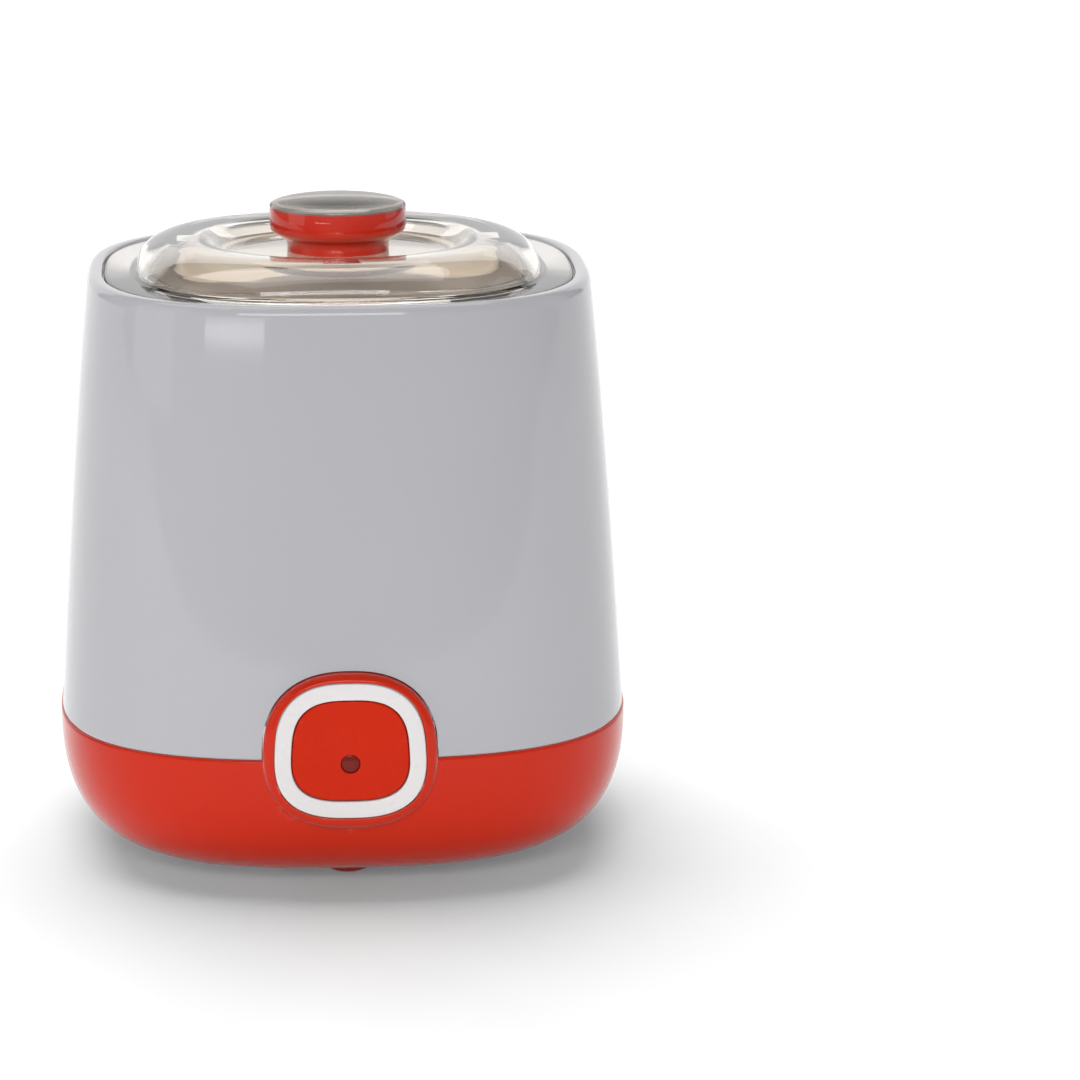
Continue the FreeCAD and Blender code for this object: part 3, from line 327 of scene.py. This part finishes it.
def clear(name, tint, rough, ior):
    """Clear plastic: faint flow marks and haze; light from lamps passes through it."""
    material = fresh_material(name)
    tree = material.node_tree
    shader = tree.nodes["Principled BSDF"]
    shader.inputs["IOR"].default_value = ior
    clouds = noise(tree, 9, 3.0)
    tone = blended(tree, spread(tree, clouds, 0, 1), shade(tint, 0.99), shade(tint, 1.01))
    tree.links.new(tone, shader.inputs["Base Color"])
    shader.inputs["Transmission Weight"].default_value = 1.0
    haze = spread(tree, noise(tree, 60, 5.0), rough * 0.6, rough * 1.5)
    tree.links.new(haze, shader.inputs["Roughness"])
    flow = add(tree, "ShaderNodeBump", {"Height": noise(tree, 22, 1.0), "Strength": 1.0,
                                        "Distance": 0.02 * MM})
    tree.links.new(flow.outputs["Normal"], shader.inputs["Normal"])

    lamp = add(tree, "ShaderNodeLightPath").outputs["Is Shadow Ray"]
    through = add(tree, "ShaderNodeBsdfTransparent", {"Color": shade(tint, 0.93)})
    choice = add(tree, "ShaderNodeMixShader", {0: lamp})
    tree.links.new(shader.outputs[0], choice.inputs[1])
    tree.links.new(through.outputs[0], choice.inputs[2])
    tree.links.new(choice.outputs[0], tree.nodes["Material Output"].inputs["Surface"])
    return material


ORANGE = (0.68, 0.024, 0.004)
GREY = (0.535, 0.53, 0.56)

# Each surface: colour, roughness, mottle, clouds and grain per metre, grain depth, then, where it
# has them, the depth of its waves and its wear; depths in millimetres.
finishes = {made.name: made for made in (
    surface("base_plastic", ORANGE, 0.16, 0.02, 9, 2200, 0.002, 0.01, specular_ior_level=0.22),
    surface("housing_plastic", GREY, 0.06, 0.012, 7, 2200, 0.0012, 0.003, 0.06,
            specular_ior_level=0.4),
    surface("ring_plastic", (0.88, 0.85, 0.85), 0.3, 0.015, 30, 2400, 0.003),
    surface("button_plastic", ORANGE, 0.3, 0.015, 25, 2600, 0.004, specular_ior_level=0.1),
    surface("lens_plastic", (0.20, 0.016, 0.012), 0.15, 0.05, 160, 3000, 0.002,
            specular_ior_level=0.2),
    surface("foot_rubber", (0.42, 0.02, 0.01), 0.5, 0.05, 60, 2600, 0.02),
    clear("clear_plastic", (0.95, 0.92, 0.88), 0.02, 1.52),
    surface("knob_red", (0.66, 0.023, 0.004), 0.3, 0.02, 30, 2400, 0.002,
            specular_ior_level=0.15),
    surface("knob_grey", (0.22, 0.22, 0.215), 0.35, 0.02, 30, 2400, 0.003,
            specular_ior_level=0.3),
    clear("jar_plastic", (0.95, 0.96, 0.96), 0.04, 1.49),
    surface("jar_lid_plastic", (0.68, 0.61, 0.52), 0.35, 0.05, 22, 1600, 0.01,
            subsurface_weight=0.2, subsurface_scale=0.004),
    surface("well_aluminium", (0.80, 0.80, 0.81), 0.32, 0.04, 30, 900, 0.006, metal=1.0,
            stretch=(1, 1, 0.08)),
    surface("seal_silicone", (0.60, 0.60, 0.58), 0.45, 0.04, 50, 1500, 0.02),
    surface("heater_silicone", (0.48, 0.10, 0.03), 0.55, 0.06, 60, 1300, 0.06),
    surface("zinc_steel", (0.62, 0.63, 0.66), 0.28, 0.08, 120, 1500, 0.01, metal=1.0, wear=0.3),
    surface("thermostat_black", (0.025, 0.024, 0.023), 0.42, 0.12, 90, 2000, 0.02),
    surface("fuse_metal", (0.70, 0.69, 0.66), 0.3, 0.06, 150, 1800, 0.01, metal=1.0, wear=0.3),
    surface("board_laminate", (0.03, 0.16, 0.07), 0.38, 0.12, 220, 900, 0.02),
    surface("switch_black", (0.02, 0.02, 0.022), 0.36, 0.1, 120, 2200, 0.01),
    surface("led_red", (0.45, 0.01, 0.01), 0.08, 0.05, 150, 2500, 0.002, coat_weight=0.8),
    surface("gland_rubber", (0.03, 0.03, 0.032), 0.6, 0.15, 70, 1800, 0.03),
    surface("clamp_plastic", (0.55, 0.54, 0.50), 0.4, 0.04, 60, 2000, 0.01),
    surface("lead_brown", (0.10, 0.035, 0.015), 0.38, 0.08, 90, 1500, 0.01),
    surface("lead_blue", (0.012, 0.05, 0.28), 0.38, 0.08, 90, 1500, 0.01),
    surface("lead_white", (0.66, 0.65, 0.62), 0.4, 0.05, 90, 1500, 0.01),
)}

for name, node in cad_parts.items():
    for entry in node.material_slots:
        entry.material = finishes[slots[name]]

NO_GLOW = ("base_plastic", "foot_rubber")  # slots kept from colouring the table and the pieces
lid_pieces = []


def fit(piece, node, body="root"):
    """Finishes a piece that stands for a CAD node: shading, material, body and slot."""
    slot = slots[node]
    piece.data.shade_smooth()
    piece.data.set_sharp_from_angle(angle=SHARP_ANGLE)
    piece.data.materials.clear()
    piece.data.materials.append(finishes[slot])
    piece.visible_diffuse = piece.visible_glossy = slot not in NO_GLOW
    if body in ("lid", "jar_lid"):
        lid_pieces.append(piece)
    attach(piece, body)
    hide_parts(node)
    return piece


# ---------------------------------------------------------------- base


def bowl_point(turn, inset=0.0):
    """A point of the bowl's side; turn runs from 0 at the floor to a right angle at the rim."""
    half = BASE_FLOOR_HALF + BASE_SPREAD * math.sin(turn) ** BOWL_CURVE
    level = BASE_FLOOR_Z + (BASE_RIM_Z - BASE_FLOOR_Z) * (1 - math.cos(turn) ** BOWL_CURVE)
    if not inset:
        return half, level
    step = 1e-3
    nearby = bowl_point(min(turn + step, math.pi / 2 - 1e-9))
    before = bowl_point(max(turn - step, 1e-9))
    along = (Vector(nearby) - Vector(before)).normalized()
    return half - along.y * inset, level + along.x * inset


def bowl_profile():
    """The bowl, then the upstand inside its rim that the housing sits round."""
    crowding = 1.25  # more of the sections near the floor, where the side turns
    turns = [math.pi / 2 * (i / BOWL_STEPS) ** crowding for i in range(BOWL_STEPS + 1)]
    outside = [Section(*bowl_point(turn)) for turn in turns[:-1]]
    inside = [Section(*bowl_point(turn, CASE_WALL)) for turn in reversed(turns[2:-1])]
    rim_half = BASE_FLOOR_HALF + BASE_SPREAD
    rim = [Section(rim_half, BASE_RIM_Z - 1.5), Section(rim_half, BASE_RIM_Z, 0.7),
           Section(UPSTAND_OUT, BASE_RIM_Z, 0.2), Section(UPSTAND_OUT, UPSTAND_Z, 0.4),
           Section(UPSTAND_IN, UPSTAND_Z, 0.4), Section(UPSTAND_IN, BASE_RIM_Z - 0.5)]
    outside = [cut for cut in outside if cut.level < BASE_RIM_Z - 1.6]
    inside = [cut for cut in inside if cut.level < BASE_RIM_Z - 3]
    floor = BASE_FLOOR_Z + CASE_WALL
    return ([Section(0, BASE_FLOOR_Z), Section(BASE_MIDDLE, BASE_FLOOR_Z)] + outside + rim
            + inside + [Section(BASE_MIDDLE, floor), Section(0, floor)])


def flare(u, v, level):
    """Spreads the frame's side softly where it meets the bowl under the seam."""
    low = smooth((BASE_RIM_Z - 1.0 - v) / FLARE_FADE)
    back = min(1.0, max(0.0, (level - FRAME_FRONT_Y) / FLARE_RUN))
    out = FLARE_OUT * back ** 2 * low
    reach = math.hypot(u, v - FRAME_Z)
    return u * (1 + out / reach), FRAME_Z + (v - FRAME_Z) * (1 + out / reach)


def frame_section(level, more=0.0):
    return Section(FRAME_HALF + more, level, 0, FRAME_POWER, FRAME_LESS, FRAME_Z, FRAME_TAPER)


def seat_section(level, half=SEAT_HALF):
    return Section(half, level, 0, RING_POWER, SEAT_LESS, PANEL_Z, PANEL_TAPER)


def opening_section(level, half=OPENING_HALF, radius=0):
    return Section(half, level, radius, OPENING_POWER, OPENING_LESS, PANEL_Z, PANEL_TAPER)


def frame_sections():
    """The raised tongue round the panel: a rounded band, a seat for the ring and an opening."""
    sections = [frame_section(mix(FRAME_BACK_Y, FRAME_FRONT_Y, i / 8)) for i in range(8)]
    for across, rise in quarter(12):
        ends = zip(frame_section(0), seat_section(0))
        cut = Section(*[mix(side, seat, 1 - across) for side, seat in ends])
        sections.append(cut._replace(level=mix(FRAME_FRONT_Y, PANEL_Y, rise)))
    opening = OPENING_HALF + GAP
    return sections + [seat_section(PANEL_Y + 0.15), seat_section(SEAT_Y),
                       opening_section(SEAT_Y, opening), opening_section(FRAME_BACK_Y, opening)]


def plug(name, *sections):
    """A tool with flat ends through the sections, from front to back."""
    first, last = sections[0], sections[-1]
    return solid(name, [first._replace(half=0), *sections, last._replace(half=0)], facing_front)


FAR_Y, DEEP_Y = -99.0, -70.0
base = solid("base_bowl", bowl_profile())
cut = plug("panel_cut", seat_section(FAR_Y), seat_section(SEAT_Y),
           opening_section(SEAT_Y, OPENING_HALF + GAP), opening_section(DEEP_Y, OPENING_HALF + GAP))
combine(base, cut, "DIFFERENCE")
combine(base, solid("panel_frame", frame_sections(), facing_front, flare), "UNION")
posts = [(x, y) for x in (-POST_AT, POST_AT) for y in (-POST_AT, POST_AT)]
combine(base, rods("posts", posts, POST_RADIUS, POST_LOW_Z, POST_HIGH_Z), "UNION")
combine(base, rods("post_wells", posts, HEAD_WELL_RADIUS, -2, HEAD_WELL_Z), "DIFFERENCE")
combine(base, rods("post_holes", posts, SCREW_HOLE_RADIUS, 30, 45), "DIFFERENCE")
gland_at = [(0, GLAND_Z)]
combine(base, rods("gland_boss", gland_at, GLAND_BOSS_RADIUS, GLAND_DEEP_Y, GLAND_BOSS_Y, "Y"),
        "UNION")
combine(base, rods("gland_hole", gland_at, GLAND_HOLE_RADIUS, 70, 95, "Y"), "DIFFERENCE")
fit(base, "base_shell")

# Feet: small domes under the floor, each with a flat tread.
feet = bmesh.new()
foot_sections = turned([(0, 0, 0), (FOOT_TREAD, 0, 0.6), (FOOT_RADIUS, FOOT_SIDE_Z, 0.9),
                        (FOOT_RADIUS + 0.2, FOOT_TOP_Z, 0), (0, FOOT_TOP_Z, 0)])
for x, y in ((0, -FOOT_CIRCLE), (FOOT_CIRCLE, 0), (0, FOOT_CIRCLE), (-FOOT_CIRCLE, 0)):
    single = solid("foot", foot_sections)
    single.data.transform(Matrix.Translation(Vector((x, y, 0)) * MM))
    feet.from_mesh(single.data)
    bpy.data.objects.remove(single)
fit(mesh_piece("feet", feet), "rubber_feet")


# ---------------------------------------------------------------- upper housing


def housing_half(share):
    """Half-width at a share of the height: nearly straight, bulged, drawn in at the shoulder."""
    straight = mix(HOUSING_LOW_HALF, HOUSING_HIGH_HALF, share)
    bulge = HOUSING_BULGE * 4 * share * (1 - share)
    return straight + bulge - SHOULDER_DROP * smooth((share - SHOULDER_FROM) / SHOULDER_RUN)


def housing_sections():
    """Side, rounded lip, ledge for the lid, deck with its skirt, and the side again from inside."""
    outside = []
    for i in range(37):
        share = i / 36
        level = mix(HOUSING_LOW_Z + 0.4, HOUSING_HIGH_Z, share)
        outside.append(Section(housing_half(share), level))
    top_half = housing_half(1)
    lip = [Section(top_half - LIP_ROUND * (1 - across), mix(HOUSING_HIGH_Z, LIP_Z, rise))
           for across, rise in quarter(8)[1:]]
    inner = [Section(LIP_INNER, LIP_Z, 1.5), Section(LIP_INNER, LEDGE_SHOWN_Z, 0.3),
             Section(LEDGE_MIDDLE, LEDGE_SHOWN_Z, 0, 2.4),
             Section(DECK_HOLE, LEDGE_SHOWN_Z, 0.6, ROUND), Section(DECK_HOLE, SKIRT_Z, 0.3, ROUND),
             Section(SKIRT_OUT, SKIRT_Z, 0.3, ROUND), Section(SKIRT_OUT, DECK_UNDER_Z, 0.5, ROUND),
             Section(DECK_MIDDLE, DECK_UNDER_Z, 0, 2.5),
             Section(housing_half(0.97) - CASE_WALL, DECK_UNDER_Z, 1.0)]
    inside = []
    for i in range(9):
        share = 0.95 * (1 - i / 8)
        level = mix(HOUSING_LOW_Z, HOUSING_HIGH_Z, share)
        inside.append(Section(housing_half(share) - CASE_WALL, level))
    return outside + lip + inner + inside + [Section(HOUSING_FOOT_HALF, HOUSING_LOW_Z)]


housing = solid("housing_shell", housing_sections())
notch = plug("notch", frame_section(FAR_Y, NOTCH_GAP), frame_section(NOTCH_BACK_Y, NOTCH_GAP))
combine(housing, notch, "DIFFERENCE")
fit(housing, "upper_housing")


# ---------------------------------------------------------------- panel

ring = [seat_section(PANEL_Y, RING_HALF)._replace(radius=0.5), opening_section(PANEL_Y, radius=0.4),
        opening_section(SEAT_Y, radius=0.2), seat_section(SEAT_Y, RING_HALF)._replace(radius=0.2)]
fit(solid("ring_face", ring, facing_front), "panel_ring")

lens_hole = Section(LENS_RADIUS + LENS_PLAY, BUTTON_Y, 0.25, ROUND, 0, LENS_Z)
lens_bore = lens_hole._replace(half=LENS_BORE, radius=0)
button = [lens_hole, opening_section(BUTTON_Y, BUTTON_HALF - 3),
          opening_section(BUTTON_Y, BUTTON_HALF, 0.5),
          opening_section(BUTTON_FLANGE_Y, BUTTON_HALF),
          opening_section(BUTTON_FLANGE_Y, BUTTON_FLANGE_HALF, 0.3),
          opening_section(BUTTON_BACK_Y, BUTTON_FLANGE_HALF, 0.3),
          lens_bore._replace(level=BUTTON_BACK_Y), lens_bore._replace(level=LENS_STEP_Y),
          lens_hole._replace(level=LENS_STEP_Y, radius=0)]
fit(solid("button_plate", button, facing_front), "power_button", "button")

lens = [Section(half, level, radius, ROUND, 0, LENS_Z) for half, level, radius in (
    (0, LENS_FRONT_Y, 0), (LENS_MIDDLE, LENS_FRONT_Y + 0.05, 0),
    (LENS_RADIUS, LENS_FRONT_Y + 0.4, 0.3), (LENS_RADIUS, LENS_STEP_Y, 0),
    (LENS_COLLAR, LENS_STEP_Y, 0.2), (LENS_COLLAR, LENS_BACK_Y, 0.2), (0, LENS_BACK_Y, 0))]
fit(solid("lens_window", lens, facing_front), "indicator_lens", "button")


# ---------------------------------------------------------------- lid


def lid_sections():
    """Flange, steep dome with a rounded crest, sunken middle; hollow underneath, with a spigot."""
    seat_z = LEDGE_Z + 0.1
    top = [Section(FLANGE_HALF, seat_z, 0.3), Section(FLANGE_HALF, FLANGE_Z, 1.1),
           Section(DOME_HALF + 1.4, FLANGE_Z, 0.6)]
    draw_in = DOME_HALF - CREST_HALF
    for i, (across, rise) in enumerate(quarter(14)):
        power = mix(SQUARISH, CREST_POWER, i / 14)
        level = mix(FLANGE_Z + 0.4, CREST_Z, rise)
        top.append(Section(DOME_HALF - draw_in * (1 - across), level, 0, power))
    top += [Section(DISH_RADIUS + 1, CREST_Z, 2.6, DISH_EDGE_POWER),
            Section(DISH_FLOOR, DISH_Z, 1.6, ROUND), Section(0, DISH_Z)]
    under, crest_under = DISH_Z - LID_WALL, CREST_Z - LID_WALL
    below = [Section(0, under), Section(DISH_FLOOR + 0.6, under, 1.6, ROUND),
             Section(DISH_RADIUS + 2.4, crest_under, 2.0, DISH_EDGE_POWER),
             Section(CREST_HALF, crest_under, 0, CREST_POWER)]
    dome = []
    for i, (across, rise) in enumerate(quarter(8)[:-1]):
        power = mix(SQUARISH, CREST_POWER, i / 8)
        half = DOME_HALF - LID_WALL - draw_in * (1 - across)
        dome.append(Section(half, mix(seat_z, crest_under, rise), 0, power))
    spigot = turned([(SPIGOT_IN, seat_z - 0.5, 0), (SPIGOT_IN, SPIGOT_LOW_Z, 0.4),
                     (SPIGOT_OUT, SPIGOT_LOW_Z, 0.4), (SPIGOT_OUT, seat_z, 0.3)])
    return top + below + dome[::-1] + spigot


fit(solid("lid_dome", lid_sections()), "lid_shell", "lid")


# ---------------------------------------------------------------- knob


def knob_side(inset):
    """Neck, flared underside and side of the spool, or of the red core inside it."""
    neck, disc = KNOB_NECK - inset, KNOB_RADIUS - inset
    lift = 0.6 * inset
    dish, low = DISH_Z + lift, KNOB_LOW_Z + lift
    return [(neck, DISH_Z - BITE, 0), (neck, dish + NECK_TOP_RISE, 1.4),
            (neck + NECK_FLARE_OUT, dish + NECK_FLARE_RISE, 0.9),
            (KNOB_NECK + UNDERSIDE_OUT, low - UNDERSIDE_DROP, 1.0), (disc - 0.4, low + 0.1, 0.8),
            (disc, low + DISC_EDGE_RISE, 0.6)]


INNER_DISC, CAP_TOP_Z = KNOB_RADIUS - KNOB_SKIN, KNOB_RIM_Z - CAP_DROP
CAP_SEAT = INNER_DISC - CAP_OVERHANG
CAP_LOW_Z, EDGE_LOW_Z = CAP_TOP_Z - CAP_SHEET, CAP_TOP_Z - CAP_EDGE
ceiling_radius, ceiling_z = KNOB_RADIUS - DOME_FOOT_WALL, KNOB_TOP_Z - DOME_WALL
dome, ceiling, crown = [], [], []
for across, rise in quarter(16):
    dome.append((KNOB_RADIUS * across, mix(KNOB_RIM_Z, KNOB_TOP_Z, rise), 0))
    ceiling.append((ceiling_radius * across, mix(KNOB_RIM_Z, ceiling_z, rise), 0))
    crown.append(((INNER_DISC - CAP_INSET) * across, CAP_TOP_Z + CAP_CROWN * rise ** 2, 0))
foot = [(ceiling_radius, CAP_TOP_Z - BITE, 0), (INNER_DISC - BITE, CAP_TOP_Z - BITE, 0)]
skin = knob_side(0) + dome + ceiling[::-1] + foot + knob_side(KNOB_SKIN + BITE)[::-1]
knob_skin = fit(solid("knob_skin", turned(skin)), "knob_shell", "lid")
seat = [(INNER_DISC, EDGE_LOW_Z, 0), (CAP_SEAT, EDGE_LOW_Z, 0), (CAP_SEAT, CAP_LOW_Z, 0),
        (0, CAP_LOW_Z, 0)]
core = [(0, DISH_Z - BITE, 0)] + knob_side(KNOB_SKIN) + seat
knob_body = fit(solid("knob_body", turned(core)), "knob_core", "lid")
cap = seat[::-1] + [(INNER_DISC, CAP_TOP_Z, 0.15)] + crown
knob_cover = fit(solid("knob_cover", turned(cap)), "knob_cap", "lid")


# ---------------------------------------------------------------- jar

# From the middle of the foot up the outside, over the rim with its bead, and down the inside.
jar_inner, neck_inner = JAR_RADIUS - JAR_WALL, JAR_NECK - JAR_WALL
punt_z, floor_z, bead = JAR_LOW_Z + JAR_PUNT, JAR_LOW_Z + JAR_FLOOR, JAR_NECK + 0.6
jar = turned([
    (0, punt_z, 0), (JAR_FOOT_IN - 2, punt_z, 1), (JAR_FOOT_IN, JAR_LOW_Z, 1),
    (JAR_FOOT_OUT, JAR_LOW_Z, 3), (JAR_RADIUS, JAR_LOW_Z + 6, 3),
    (JAR_RADIUS, JAR_SHOULDER_Z, 0.8), (JAR_NECK, JAR_SHOULDER_Z + 1.5, 0.6),
    (JAR_NECK, JAR_RIM_Z - 4, 0.3), (bead, JAR_RIM_Z - 3, 0.3), (bead, JAR_RIM_Z - 1, 0.4),
    (JAR_NECK - 0.4, JAR_RIM_Z, 0.5), (JAR_NECK - 1.8, JAR_RIM_Z, 0.5),
    (neck_inner, JAR_RIM_Z - 0.8, 0.5), (neck_inner, JAR_SHOULDER_Z - 1, 0.8),
    (jar_inner, JAR_SHOULDER_Z - 4, 0.8), (jar_inner, JAR_LOW_Z + 9, 3),
    (jar_inner - 5, floor_z, 3), (0, floor_z, 0)])
fit(solid("jar_glass", jar), "jar", "jar")

# The lid of the jar: a skirt over the neck, a raised edge and a raised middle.
skirt_inner, sheet_z = JAR_NECK + JAR_LID_PLAY, JAR_RIM_Z + 0.2
plate_z, middle_z = sheet_z + 1.8, sheet_z + 2.8
cover = turned([
    (0, sheet_z, 0), (skirt_inner, sheet_z, 0.3), (skirt_inner, JAR_LID_LOW_Z, 0.3),
    (JAR_LID_RADIUS, JAR_LID_LOW_Z, 0.4), (JAR_LID_RADIUS, JAR_LID_Z, 1.3),
    (JAR_LID_RADIUS - 3.2, JAR_LID_Z, 0.8), (JAR_LID_RADIUS - 4.6, plate_z, 0.8),
    (JAR_LID_STEP, plate_z, 0.6), (JAR_LID_STEP - 2, middle_z, 0.6), (0, middle_z, 0)])
fit(solid("jar_cover", cover), "jar_lid", "jar_lid")


# ---------------------------------------------------------------- stage, lights and camera


def gathered(name, members):
    """A collection of pieces, for a lamp that lights only those or all but those."""
    group = bpy.data.collections.new(name)
    for member in members:
        group.objects.link(member)
    return group


def lamp(name, at, aim, size, power):
    """A soft rectangular lamp at a place in metres, pointing at a spot."""
    light = bpy.data.lights.new(name, "AREA")
    light.shape = "RECTANGLE"
    light.size, light.size_y = size
    light.energy = power
    holder = bpy.data.objects.new(name, light)
    holder.location = at
    holder.rotation_euler = (Vector(aim) - Vector(at)).to_track_quat("-Z", "Y").to_euler()
    holder.visible_camera = False
    bpy.context.scene.collection.objects.link(holder)
    return holder


TABLE_FRONT, TABLE_BACK, TABLE_SIDE = -0.7, 4.5, 3.0
table_mesh = bpy.data.meshes.new("table")
table_corners = [(-TABLE_SIDE, TABLE_FRONT, 0), (TABLE_SIDE, TABLE_FRONT, 0),
                 (TABLE_SIDE, TABLE_BACK, 0), (-TABLE_SIDE, TABLE_BACK, 0)]
table_mesh.from_pydata(table_corners, [], [(0, 1, 2, 3)])
table = bpy.data.objects.new("table", table_mesh)
bpy.context.scene.collection.objects.link(table)
table_mesh.materials.append(surface("table_white", (0.86, 0.86, 0.86), 0.6, 0.004, 3, 900, 0.01,
                                    wear=0.0))

# The surroundings: dim as a light, white as a background.
ROOM_LIGHT, ROOM_SEEN = 0.25, 1.3
world = bpy.data.worlds.new("studio")
bpy.context.scene.world = world
world.use_nodes = True
background = world.node_tree.nodes["Background"]
seen = add(world.node_tree, "ShaderNodeLightPath").outputs["Is Camera Ray"]
room = spread(world.node_tree, seen, ROOM_LIGHT, ROOM_SEEN, 0, 1)
world.node_tree.links.new(room, background.inputs["Strength"])
background.inputs["Color"].default_value = (1, 1, 1, 1)

sky = bpy.data.lights.new("sky", "SUN")
sky.energy, sky.angle = 2.6, math.radians(60)
sky_holder = bpy.data.objects.new("sky", sky)
sky_holder.rotation_euler = Vector((0.12, -0.42, -1)).to_track_quat("-Z", "Y").to_euler()
bpy.context.scene.collection.objects.link(sky_holder)
sky_holder.light_linking.receiver_collection = gathered("table_only", [table])

# Softboxes all round the case. The one at the back spares the clear top of the knob, which a
# weaker one at the same place lights; the red of the knob has a small lamp of its own, and the top
# one is for the lid and the housing only. The window is the small highlight on the housing.
MIDDLE = (0, 0, 0.1)
BACK_AT, BACK_SIZE = (0, 2.2, 0.75), (3.6, 1.5)
back = lamp("softbox_back", BACK_AT, MIDDLE, BACK_SIZE, 15)
all_but_knob = gathered("all_but_knob", [knob_skin, knob_cover])
for member in all_but_knob.collection_objects:
    member.light_linking.link_state = "EXCLUDE"
back.light_linking.receiver_collection = all_but_knob
knob_fill = lamp("knob_fill", (-0.3, -1.6, 0.22), MIDDLE, (0.7, 0.3), 3)
knob_fill.light_linking.receiver_collection = gathered("knob_red_part", [knob_body])
faint_back = lamp("softbox_back_faint", BACK_AT, MIDDLE, BACK_SIZE, 6)
faint_back.light_linking.receiver_collection = gathered("knob_top", [knob_skin, knob_cover])
lamp("softbox_left", (-1.3, -0.35, 0.6), MIDDLE, (0.9, 1.1), 2.2)
lamp("softbox_right", (1.4, 0.25, 0.65), MIDDLE, (0.8, 1.1), 1.4)
lamp("softbox_front", (-0.22, -1.9, 1.0), MIDDLE, (1.2, 0.7), 15.4)
top = lamp("softbox_top", (-0.1, 0.3, 1.4), MIDDLE, (1.2, 1.0), 7)
top.light_linking.receiver_collection = gathered("top_pieces", lid_pieces + [housing])
lamp("window", (-0.88, -1.8, 0.198), (0, -0.08, 0.17), (0.9, 0.024), 0.4)

LOOK_TURN, LOOK_DOWN = math.radians(3.86), math.radians(12.74)
lens = bpy.data.cameras.new("photo_camera")
lens.lens, lens.sensor_width = 164.5, 36
lens.clip_start, lens.clip_end = 0.05, 50
camera = bpy.data.objects.new("photo_camera", lens)
camera.location = (-0.0395, -1.5193, 0.4352)
look = Vector((math.sin(LOOK_TURN) * math.cos(LOOK_DOWN),
               math.cos(LOOK_TURN) * math.cos(LOOK_DOWN), -math.sin(LOOK_DOWN)))
camera.rotation_euler = look.to_track_quat("-Z", "Y").to_euler()
bpy.context.scene.collection.objects.link(camera)
bpy.context.scene.camera = camera
bpy.context.scene.view_settings.view_transform = "Standard"
